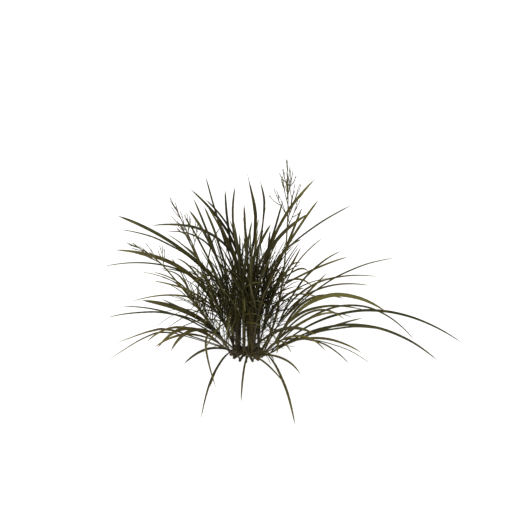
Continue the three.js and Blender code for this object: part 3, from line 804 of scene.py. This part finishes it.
# Shoots with other threads than the rest: how many times as many, where they leave and how wide
THICKETS = {
    "culm_nodding": (1.4, (0.18, 0.5), 1.6),
    "culm_left": (1.2, (0.2, 0.6), 1.5),
    "left_middle": (1.9, (0.45, 1), 1.5),
    "left_low": (2, (0.4, 1), 1.4),
    "arch_left": (1, (0.3, 0.9), 1.3),
    "culm_right": (0.5, (0.2, 0.7), 1.2),
    "right_middle": (0.5, (0.5, 1), 1),
    "right_low": (0.5, (0.5, 1), 1),
    "right_far": (0.3, (0.5, 1), 1),
}

# Old sheaths that stand up round the inner shoots' feet, with a flat side to the front or back
SHEATH_STRIPS = 6
SHEATH_STRIPS_WITHIN = 0.72
STRIP_LEAVE = (0.01, 0.16)
STRIP_LOOSE_TURN = 0.7
STRIP_TILT = (0.02, 0.15)
STRIP_LENGTH = (60, 180)
STRIP_WIDTH = (5.5, 9.5)
STRIP_FOLD = 0.5

# Single leaves that stand out in the photograph, as rows that end with their lightness: pale dry
# strips across the dark middle, a dark leaf that hooks over at the left and two slim ones that
# hang at the lower right
PALE = 1.2
DARK = -0.2
SINGLE_LEAF_TWIST = 0.3
SINGLE_LEAF_DRYNESS = 0.1
SINGLE_LEAVES = {
    "middle_front": [
        (0.99, 11, -45, 238, 39, -45, 232, 5, PALE),
        (0.75, 30, -50, 198, 53, -48, 168, 5, PALE),
        (0.59, 20, -50, 160, 39, -48, 137, 4.5, PALE),
        (0.45, 18, -50, 133, 39, -50, 111, 4.5, PALE),
    ],
    "arch_left": [
        (0.98, -76, -30, 272, -124, -40, 196, 9, DARK),
    ],
    "right_low": [
        (1, 182, -48, 98, 250, -60, 10, 6, 0.2),
        (0.99, 204, -48, 92, 303, -60, 10, 4, 0.6),
    ],
}


def own_dryness(shoot_dryness, draw):
    return (shoot_dryness + draw()) / 2


def add_single_leaves(piece, shoot, draw):
    for leave, *row in SINGLE_LEAVES.get(shoot.name, []):
        curve = BendingCurve(shoot.curve.point(leave), vector(*row[:3]), vector(*row[3:6]))
        width, lightness = row[6:]
        kind = (draw(), SINGLE_LEAF_DRYNESS, lightness)
        add_blade(piece, curve, width, SINGLE_LEAF_TWIST, kind, draw, step=THREAD_STEP)


def add_sheath_strips(piece, shoot, draw, slot):
    for index in range(SHEATH_STRIPS):
        root = shoot.curve.point(draw(*STRIP_LEAVE))
        turn = math.pi * (0.5 + index) + draw(-STRIP_LOOSE_TURN, STRIP_LOOSE_TURN)
        tilt, length, width = draw(*STRIP_TILT), draw(*STRIP_LENGTH), draw(*STRIP_WIDTH)
        curve = leaning_curve(root, turn, tilt, length, 1)
        kind = (draw(), draw(), draw())
        add_blade(piece, curve, width, 0, kind, draw, slot, THREAD_STEP, STRIP_FOLD)


def add_threads(piece, shoot, dryness, draw):
    low, high = (np.array(corner) / MM for corner in cad_box)
    leaning = between(THREAD_TILT_INSIDE, 1, min(1, outward_share(shoot.foot)))
    times, leave_range, wider = THICKETS.get(shoot.name, (1, THREAD_LEAVE, 1))
    for _ in range(round(shoot.curve.tip[2] / THREAD_SPACING * times)):
        root = shoot.curve.point(draw(*leave_range))
        turn = draw() * 2 * math.pi
        tilt = draw(*THREAD_TILT) * leaning
        length = between(*THREAD_LENGTH, draw() ** THREAD_MOSTLY_SHORT)
        droop = draw(*THREAD_DROOP)
        width = draw(*THREAD_WIDTH) * wider
        curve = leaning_curve(root, turn, tilt, length, droop)
        curve.tip = np.clip(curve.tip, low + BOX_MARGIN, high - BOX_MARGIN)
        kind = (draw(), own_dryness(dryness, draw), draw())
        twist = draw(-THREAD_TWIST, THREAD_TWIST)
        add_blade(piece, curve, width, twist, kind, draw, step=THREAD_STEP)


# Panicles: an axis with branches, each with stalks that end in small pointed spikelets

PANICLE_KIND = (0.75, 0.3, 0.5)
UPPER_BRANCH_CLOSED = 0.8
BRANCHLETS = ((0.14, 0.55), (0.36, 0.45), (0.58, 0.35))
BRANCHLETS_FROM = 45
BRANCHLET_SPREAD = 0.1
BRANCHLET_SHAPE = (0.36, 0.45, 0.3)
STALK_SPACING = 4
STALKS_ALONG = (0.12, 0.98)
STALK_LENGTHS = (1, 3)
STALK_SHORTER_AT_TIP = 0.5
STALK_LEAN = (0.08, 0.25)
STALK_BEND = (0.35, 0.3)
SPIKELET_LENGTH = 6
SPIKELET_LENGTH_SPREAD = (0.8, 1.25)
SPIKELET_RADIUS = 0.75
SPIKELET_SUNK = 0.2
SPIKELET_ARCH = np.array([0, 0, 0.001])
SPIKELET_SIDES = 6
SPIKELET_SWELL = np.array([0.15, 0.6, 0.95, 1, 0.8, 0.45, 0.1])

# How many steps long each is, its radii at foot and tip, and how many sides it has
RACHIS = (40, (1.8, 0.6), 8)
BRANCH = (14, (1.15, 0.5), 6)
STALK = (4, (0.2, 0.2), 4)


def add_twig(piece, curve, size, kind):
    steps, radii, sides = size
    shares = even_shares(steps)
    add_tube(piece, curve, shares, between(*radii, shares), kind, sides=sides)


def add_spikelet(piece, at, along, kind, draw):
    length = SPIKELET_LENGTH * draw(*SPIKELET_LENGTH_SPREAD)
    foot, middle = at - along * SPIKELET_SUNK, at + along * length / 2 + SPIKELET_ARCH
    curve = BendingCurve(foot, middle, at + along * length)
    shares = even_shares(len(SPIKELET_SWELL) - 1)
    add_tube(piece, curve, shares, SPIKELET_SWELL * SPIKELET_RADIUS, kind, sides=SPIKELET_SIDES)


def add_branch(piece, curve, kind, draw):
    add_twig(piece, curve, BRANCH, kind)
    add_spikelet(piece, curve.point(1), curve.tangents(1)[0], kind, draw)
    stalks = round(curve.rough_length() / STALK_SPACING)
    for index in range(stalks):
        share = between(*STALKS_ALONG, (index + draw()) / stalks)
        length = draw(*STALK_LENGTHS) * between(1, STALK_SHORTER_AT_TIP, share)
        shape = (draw(*STALK_LEAN), *STALK_BEND)
        stalk = side_curve(curve, share, index * GOLDEN_ANGLE, length, shape)
        add_twig(piece, stalk, STALK, kind)
        add_spikelet(piece, stalk.tip, stalk.tangents(1)[0], kind, draw)


def add_branchlets(piece, branch, kind, draw):
    """Finer branches along one of the panicle's longer ones, each a part of its length."""
    length = branch.rough_length()
    if length < BRANCHLETS_FROM:
        return
    for index, (share, part) in enumerate(BRANCHLETS):
        share = share + BRANCHLET_SPREAD * draw()
        turn = index * GOLDEN_ANGLE + draw()
        branchlet = side_curve(branch, share, turn, length * part, BRANCHLET_SHAPE)
        add_branch(piece, branchlet, kind, draw)


def closed_branch(rachis, branch, rise):
    """A branch as seen: the higher up the panicle, the closer it lies to the axis."""
    upright = rachis.tangents(1)[0] * np.linalg.norm(branch.tip - branch.root)
    closed = UPPER_BRANCH_CLOSED * rise
    bend = between(branch.bend, branch.root + upright / 2, closed)
    return BendingCurve(branch.root, bend, between(branch.tip, branch.root + upright, closed))


def build_panicle(shoot, draw, material):
    rachis, branches = shoot.panicle
    piece = Piece()
    add_twig(piece, rachis, RACHIS, PANICLE_KIND)
    upward = rachis.tangents(1)[0]
    add_spikelet(piece, rachis.tip - upward * SPIKELET_LENGTH / 2, upward, PANICLE_KIND, draw)
    for index, branch in enumerate(branches):
        branch = closed_branch(rachis, branch, index / (BRANCH_COUNT - 1))
        kind = (draw(), draw(), draw())
        add_branch(piece, branch, kind, draw)
        add_branchlets(piece, branch, kind, draw)
    piece.finish(f"seedhead_{shoot.name}", [material], "panicle", f"panicle_{shoot.name}")


# Shaders

class Shader:
    """A material under construction, with short calls for the nodes used here."""

    def __init__(self, name, skin):
        self.skin = skin
        self.material = bpy.data.materials.new(name)
        self.material.use_nodes = True
        self.nodes = self.material.node_tree.nodes
        self.links = self.material.node_tree.links
        self.surface = self.nodes["Principled BSDF"]

    def node(self, kind, inputs=(), **settings):
        """The outputs of a new node, whose inputs are fed with values or with other outputs."""
        node = self.nodes.new(f"ShaderNode{kind}")
        for name, value in settings.items():
            setattr(node, name, value)
        for name, value in dict(inputs).items():
            self.feed(node.inputs[name], value)
        return node.outputs

    def feed(self, socket, value):
        if isinstance(value, bpy.types.NodeSocket):
            self.links.new(value, socket)
        else:
            socket.default_value = value

    def attribute(self, name):
        values = self.node("Attribute", attribute_name=name)["Vector"]
        return self.node("SeparateXYZ", {0: values})

    def position(self):
        return self.node("TexCoord")["Object"]

    def from_axis(self):
        """Metres from the upright line through the middle of the crown."""
        x, y, _ = self.node("SeparateXYZ", {0: self.position()})
        return self.math("SQRT", self.plus(self.times(x, x), self.times(y, y)))

    def math(self, operation, first, second=0.0):
        return self.node("Math", {0: first, 1: second}, operation=operation)[0]

    def times(self, first, second):
        return self.math("MULTIPLY", first, second)

    def plus(self, first, second):
        return self.math("ADD", first, second)

    def noise(self, scale=1.0, detail=3.0, roughness=0.55, at=None):
        """Noise over the object, or at coordinates of its own."""
        at = self.position() if at is None else at
        inputs = {"Vector": at, "Scale": scale, "Detail": detail, "Roughness": roughness}
        return self.node("TexNoise", inputs)["Fac"]

    def skin_noise(self, across_per_mm, along_per_mm, detail, roughness=0.55):
        """Noise on a leaf or stem, different on each, by its tone."""
        across, along, _ = self.attribute("place")
        parts = (
            self.times(across, across_per_mm),
            self.times(along, along_per_mm),
            self.times(self.attribute("kind")[0], TONE_SPREAD),
        )
        at = self.node("CombineXYZ", enumerate(parts))[0]
        return self.noise(detail=detail, roughness=roughness, at=at)

    def ramp(self, value, low, high, start=0.0, end=1.0):
        """A value from low to high becomes start to end, smoothly and no further."""
        inputs = enumerate((value, low, high, start, end))
        return self.node("MapRange", inputs, interpolation_type="SMOOTHSTEP")[0]

    def mix(self, share, first, second):
        return self.node("Mix", {0: share, 6: first, 7: second}, data_type="RGBA")[2]

    def cover(self, tint, share):
        """Lays a tint over a share of the skin."""
        self.skin = self.mix(share, self.skin, tint)

    def show(self, tint, value, ramp, part=1.0):
        """Covers the skin with a tint as far as a value's ramp says, or with a part of that."""
        self.cover(tint, self.times(self.ramp(value, *ramp), part))

    def ribs(self, across, spacing):
        turns = self.times(across, 2 * math.pi / spacing)
        return self.ramp(self.math("SINE", turns), -1, 1)

    def bump(self, height, strength, metres):
        inputs = {"Height": height, "Strength": strength, "Distance": metres}
        self.links.new(self.node("Bump", inputs)[0], self.surface.inputs["Normal"])

    def finish(self, roughness, shine, white_glow=0.0):
        inputs = {
            "Base Color": self.skin, "Roughness": roughness,
            "Specular IOR Level": shine, "Emission Strength": white_glow,
        }
        for name, value in inputs.items():
            self.feed(self.surface.inputs[name], value)
        return self.material


def colour(red, green, blue):
    """A colour given as 0 to 255 on screen, as the shader's linear values."""
    linear = [((part / 255 + 0.055) / 1.055) ** 2.4 for part in (red, green, blue)]
    return (*linear, 1.0)


# Materials. A name that ends in SHOW holds a ramp: where it starts and ends and, if they aren't 0
# and 1, what it starts and ends at. One that ends in NOISE holds how fine a skin's noise is across
# and along, per millimetre, its detail and, where it isn't the usual one, its roughness. One that
# ends in MOTTLE holds the scale and detail of noise over the whole piece.

TONE_SPREAD = 300
LEAF_SHINE = 0.22
LEAF_BUMP = (0.6, 0.00018)
LEAF_ROUGHNESS_SHOW = (0.2, 0.8, 0.42, 0.7)
STREAKS_NOISE = (0.9, 0.02, 4)
PATCHES_NOISE = (0.09, 0.03, 5, 0.65)
GRAIN_NOISE = (1.6, 0.5, 3)
GRAIN_IN_BUMP = 1.5
STREAKS_SHOW = (0.3, 0.7)
STRAW_PART = 0.55
DARK_SHOW = (0, DARK)
BROWN_FROM_DRYNESS = 0.3
BROWN_SHOW = (0.62, 0.86, 0, 0.9)
DRY_TIP_SHOW = (0.62, 1)
DRY_PATCHES_SHOW = (0.42, 0.75)
PALE_ROOT_SHOW = (0.1, 0)
PALE_ROOT_PART = 0.4
VEIN_SPACING = 0.75
VEINS_SHOW = (0, 0.6, 0.28, 0)
MIDRIB_SHOW = (0.16, 0.5, 0.5, 0)
SPECKS_SHOW = (0.62, 0.8, 0, 0.35)
# Painted shade: leaves darken towards the upright line through the crown, from 0.15 to 0.03 metres
# from it; the pale leaves are left out
PAINTED_SHADE_SHOW = (0.15, 0.03, 0, 0.6)
PAINTED_SHADE_BUT_PALE_SHOW = (PALE, 1)

STEM_SHINE = 0.25
STEM_BUMP = (0.5, 0.0002)
STEM_ROUGHNESS_SHOW = (0.2, 0.8, 0.5, 0.75)
STEM_STREAKS_NOISE = (0.7, 0.03, 5, 0.6)
STEM_FIBRES_NOISE = (3, 0.15, 4)
RIB_SPACING = 1.1
FOOT_SHOW = (130, 10)
FOOT_STREAKS = 0.7
PALE_FROM_LIGHTNESS = 0.5
FOOT_BROWN_SHOW = (0.35, 1.1)
STEM_PALE_SHOW = (0.66, 1, 0, 0.75)
FIBRES_SHOW = (0.55, 0.8, 0, 0.5)
WARM_STEM_SHOW = (0.55, 0.8, 0, 0.75)
WARM_STREAKS_SHOW = (0.35, 0.6)

SEED_HEAD_ROUGHNESS_SHOW = (0.2, 0.8, 0.55, 0.8)
SEED_HEAD_FINE_MOTTLE = (240, 4)
SEED_HEAD_WIDE_MOTTLE = (35, 2)
TINT_SHOW = (0.35, 0.65)
WARM_BRANCH_SHOW = (0.6, 0.9)
WARM_BRANCH_PART = 0.6
MOTTLE_SHOW = (0.5, 0.75, 0, 0.6)

CROWN_SHINE = 0.15
CROWN_ROUGHNESS = 0.9
CROWN_SKIN_BUMP = (0.9, 0.0012)
CROWN_LUMPS_MOTTLE = (90, 5)
CROWN_SPECKS_MOTTLE = (600, 4)
CROWN_SPECKS_SHOW = (0.52, 0.7, 0, 0.6)


def leaf_material(name, fresh, deep, straw, brown):
    """Streaked, veined leaf skin that turns brown in patches and dry towards its tip, with painted
    shade that darkens it towards the tussock's middle.
    """
    shader = Shader(name, deep)
    across, _, share = shader.attribute("place")
    _, dryness, lightness = shader.attribute("kind")
    streaks = shader.skin_noise(*STREAKS_NOISE)
    grain = shader.skin_noise(*GRAIN_NOISE)
    veins = shader.ribs(across, VEIN_SPACING)
    drying = shader.times(dryness, BROWN_FROM_DRYNESS)
    browned = shader.plus(shader.skin_noise(*PATCHES_NOISE), drying)
    dry_patches = shader.ramp(browned, *DRY_PATCHES_SHOW)
    painted_shade_but_pale = shader.ramp(lightness, *PAINTED_SHADE_BUT_PALE_SHOW)
    shader.show(fresh, streaks, STREAKS_SHOW)
    shader.cover(straw, shader.times(lightness, STRAW_PART))
    shader.show(deep, lightness, DARK_SHOW)
    shader.show(brown, browned, BROWN_SHOW)
    shader.show(straw, share, DRY_TIP_SHOW, dry_patches)
    shader.show(straw, share, PALE_ROOT_SHOW, PALE_ROOT_PART)
    shader.show(deep, veins, VEINS_SHOW)
    shader.show(straw, shader.math("ABSOLUTE", across), MIDRIB_SHOW)
    shader.show(brown, grain, SPECKS_SHOW)
    # Painted shade, darker towards the middle of the tussock, except on the pale leaves
    shader.show(deep, shader.from_axis(), PAINTED_SHADE_SHOW, painted_shade_but_pale)
    shader.bump(shader.plus(veins, shader.times(grain, GRAIN_IN_BUMP)), *LEAF_BUMP)
    return shader.finish(shader.ramp(grain, *LEAF_ROUGHNESS_SHOW), LEAF_SHINE)


def stem_material(name, green, brown, straw, warm):
    """Ribbed sheath skin, browner at the foot, with dry pale strips and some stems a warm tan."""
    shader = Shader(name, green)
    across, along, _ = shader.attribute("place")
    _, dryness, lightness = shader.attribute("kind")
    streaks = shader.skin_noise(*STEM_STREAKS_NOISE)
    fibres = shader.skin_noise(*STEM_FIBRES_NOISE)
    foot = shader.plus(shader.ramp(along, *FOOT_SHOW), shader.times(streaks, FOOT_STREAKS))
    pale = shader.plus(shader.times(lightness, PALE_FROM_LIGHTNESS), streaks)
    warm_streaks = shader.ramp(streaks, *WARM_STREAKS_SHOW)
    shader.show(brown, foot, FOOT_BROWN_SHOW)
    shader.show(straw, pale, STEM_PALE_SHOW)
    shader.show(brown, fibres, FIBRES_SHOW)
    shader.show(warm, dryness, WARM_STEM_SHOW, warm_streaks)
    shader.bump(shader.plus(shader.ribs(across, RIB_SPACING), fibres), *STEM_BUMP)
    return shader.finish(shader.ramp(fibres, *STEM_ROUGHNESS_SHOW), STEM_SHINE)


def panicle_material(name, green, straw, warm, dark):
    shader = Shader(name, green)
    tone = shader.attribute("kind")[0]
    mottle = shader.noise(*SEED_HEAD_FINE_MOTTLE)
    shader.show(straw, shader.noise(*SEED_HEAD_WIDE_MOTTLE), TINT_SHOW)
    shader.show(warm, tone, WARM_BRANCH_SHOW, WARM_BRANCH_PART)
    shader.show(dark, mottle, MOTTLE_SHOW)
    shader.bump(mottle, *STEM_BUMP)
    return shader.finish(shader.ramp(mottle, *SEED_HEAD_ROUGHNESS_SHOW), STEM_SHINE)


def crown_material(name, dark, brown, pale):
    shader = Shader(name, dark)
    lumps = shader.noise(*CROWN_LUMPS_MOTTLE)
    specks = shader.noise(*CROWN_SPECKS_MOTTLE)
    shader.show(brown, lumps, TINT_SHOW)
    shader.show(pale, specks, CROWN_SPECKS_SHOW)
    shader.bump(shader.plus(lumps, specks), *CROWN_SKIN_BUMP)
    return shader.finish(CROWN_ROUGHNESS, CROWN_SHINE)


LEAF_LOOKS = {
    "leaf_olive": ((69, 69, 22), (23, 23, 7), (104, 98, 45), (58, 42, 13)),
    "leaf_straw": ((83, 80, 28), (33, 31, 10), (117, 110, 54), (65, 47, 15)),
    "leaf_dark": ((53, 55, 20), (18, 18, 7), (88, 84, 41), (45, 33, 11)),
    "leaf_tawny": ((80, 75, 27), (34, 30, 10), (115, 104, 49), (68, 46, 15)),
    "leaf_brown": ((62, 58, 20), (25, 22, 7), (97, 88, 40), (63, 41, 13)),
}
SHEATH_LOOK = ((55, 54, 20), (38, 30, 12), (98, 90, 46), (86, 62, 18))
SEED_HEAD_LOOK = ((66, 66, 30), (94, 90, 50), (100, 84, 55), (48, 45, 26))
CROWN_LOOK = ((50, 42, 25), (84, 73, 47), (112, 99, 69))


# Crown, reaching round the feet as the solids' crown does, with a rough edge and a lumpy top

CROWN_ANGLES = 360
CROWN_INNER_RADIUS = 14
CROWN_FOOT_RADIUS = 3.1
CROWN_LEVELS = (
    (0, 1.2), (1.2, 0.3), (CROWN_HEIGHT / 2, 0), (CROWN_HEIGHT - 1.2, 0.3), (CROWN_HEIGHT, 1.6),
)
CROWN_RINGS_INWARD = 14
CROWN_INSET = 0.5
CROWN_BUMP = 0.5
CROWN_SHARP_ANGLE = 80

# The rough edge as waves: height, number round the crown and phase
CROWN_EDGE_WAVES = ((0.25, 47, 0), (0.2, 83, 1), (0.15, 131, 2))
# The lumps on top as waves: number round the crown, and shift from ring to ring
CROWN_LUMP_WAVES = ((23, 2.1), (9, 1.7))
CROWN_LUMPS_TO_MIDDLE = 3


def crown_reach(angle, feet):
    forward = feet[:, 0] * math.cos(angle) + feet[:, 1] * math.sin(angle)
    aside = feet[:, 1] * math.cos(angle) - feet[:, 0] * math.sin(angle)
    root = np.sqrt(np.maximum(0, CROWN_FOOT_RADIUS**2 - aside**2))
    return max(CROWN_INNER_RADIUS, *np.where(np.abs(aside) < CROWN_FOOT_RADIUS, forward + root, 0))


def build_crown(shoots, material):
    feet = np.array([shoot.foot for shoot in shoots])
    angles = angles_round(CROWN_ANGLES)
    reach = np.array([crown_reach(angle, feet) for angle in angles])
    directions = np.stack([np.cos(angles), np.sin(angles), np.zeros(CROWN_ANGLES)], axis=-1)
    rough = sum(part * np.sin(angles * count + phase) for part, count, phase in CROWN_EDGE_WAVES)
    rings = [
        directions * (reach - inset + rough - CROWN_INSET)[:, None] + vector(0, 0, height)
        for height, inset in CROWN_LEVELS
    ]
    top = rings[-1]
    for ring in range(1, CROWN_RINGS_INWARD):
        kept = 1 - ring / CROWN_RINGS_INWARD
        lumps = CROWN_BUMP
        for count, shift in CROWN_LUMP_WAVES:
            lumps = lumps * np.sin(angles * count + ring * shift)
        sunk = (lumps - CROWN_BUMP) * min(1, kept * CROWN_LUMPS_TO_MIDDLE)
        rings.append(top * vector(kept, kept, 1) + vector(0, 0, 1) * sunk[:, None])
    piece = Piece()
    piece.skin(np.stack(rings), 0, 0)
    piece.finish("crown_bark", [material], "crown", "crown", sharp_angle=CROWN_SHARP_ANGLE)


# The tussock

LOOK_SEED = 613
LOOK_SEED_START = 17
LEAF_SLOT, STEM_SLOT = 0, 1


def build_shoot(shoot, draw, record_slot, leaf, stem):
    piece = Piece()
    dryness = draw()
    stem_kind = (draw(), 0, 1) if shoot.panicle else (draw(), dryness, draw())
    add_stem(piece, shoot, stem_kind, STEM_SLOT, draw)
    for index, blade in enumerate(shoot.blades):
        kind = (draw(), own_dryness(dryness, draw), draw())
        wider = BROAD_FIRST_LEAF.get(shoot.name, 1) if index == 0 else 1
        add_blade(piece, blade.curve, blade.width * wider, blade.twist, kind, draw, LEAF_SLOT)
    add_threads(piece, shoot, stem_kind[1], draw)
    if outward_share(shoot.foot) < SHEATH_STRIPS_WITHIN:
        add_sheath_strips(piece, shoot, draw, STEM_SLOT)
    add_single_leaves(piece, shoot, draw)
    piece.finish(f"leaves_{shoot.name}", [leaf, stem], record_slot, f"shoot_{shoot.name}")


def dressed(material, name, look):
    return material(name, *(colour(*tint) for tint in look))


def build_tussock():
    leaves = [
        (name, dressed(leaf_material, f"skin_{name}", look)) for name, look in LEAF_LOOKS.items()
    ]
    stem = dressed(stem_material, "sheath", SHEATH_LOOK)
    seed_head = dressed(panicle_material, "seed_head", SEED_HEAD_LOOK)
    shoots = grow_shoots()
    for index, shoot in enumerate(shoots):
        draw = seeded_draw(index * LOOK_SEED + LOOK_SEED_START)
        build_shoot(shoot, draw, *leaves[index % len(leaves)], stem)
        if shoot.panicle:
            build_panicle(shoot, draw, seed_head)
    build_crown(shoots, dressed(crown_material, "crown_bark", CROWN_LOOK))


# Floor, light and camera

FLOOR_HALF = 12
FLOOR_GREYS = (0.32, 0.36)
FLOOR_MOTTLE = (3, 3)
FLOOR_ROUGHNESS = 0.9
FLOOR_SHINE = 0.1
FLOOR_GLOW = 0.84
WHITE = (1, 1, 1, 1)
SKY_STRENGTH = 0.46
SUN_STRENGTH = 2.4
SUN_TILT = (math.radians(20), math.radians(-18), math.radians(15))
SUN_ANGLE = math.radians(35)
CAMERA_PLACE = (0.025, -1.4028, 1.087)
CAMERA_TURN = (math.radians(60), 0, 0)
CAMERA_FIELD = math.radians(40)
CAMERA_SEES_TO = 100


def floor_material():
    darker, lighter = ((grey, grey, grey, 1) for grey in FLOOR_GREYS)
    shader = Shader("floor", darker)
    shader.show(lighter, shader.noise(*FLOOR_MOTTLE), STREAKS_SHOW)
    return shader.finish(FLOOR_ROUGHNESS, FLOOR_SHINE, FLOOR_GLOW)


def build_studio():
    mesh = bpy.data.meshes.new("floor")
    corners = ((-1, -1), (1, -1), (1, 1), (-1, 1))
    mesh.from_pydata([(x * FLOOR_HALF, y * FLOOR_HALF, 0) for x, y in corners], [], [(0, 1, 2, 3)])
    mesh.materials.append(floor_material())
    floor = add_object("floor", mesh)

    world = bpy.data.worlds.new("studio")
    world.use_nodes = True
    sky = world.node_tree.nodes["Background"].inputs
    sky["Color"].default_value = WHITE
    sky["Strength"].default_value = SKY_STRENGTH
    bpy.context.scene.world = world

    sun = add_object("sun", bpy.data.lights.new("sun", "SUN"))
    sun.data.energy = SUN_STRENGTH
    sun.data.angle = SUN_ANGLE
    sun.rotation_euler = SUN_TILT

    camera = add_object("camera", bpy.data.cameras.new("camera"))
    camera.location = CAMERA_PLACE
    camera.rotation_euler = CAMERA_TURN
    camera.data.angle = CAMERA_FIELD
    camera.data.clip_end = CAMERA_SEES_TO
    bpy.context.scene.camera = camera
    bpy.context.scene.view_settings.view_transform = "Standard"


build_tussock()
build_studio()

bpy.context.view_layer.update()
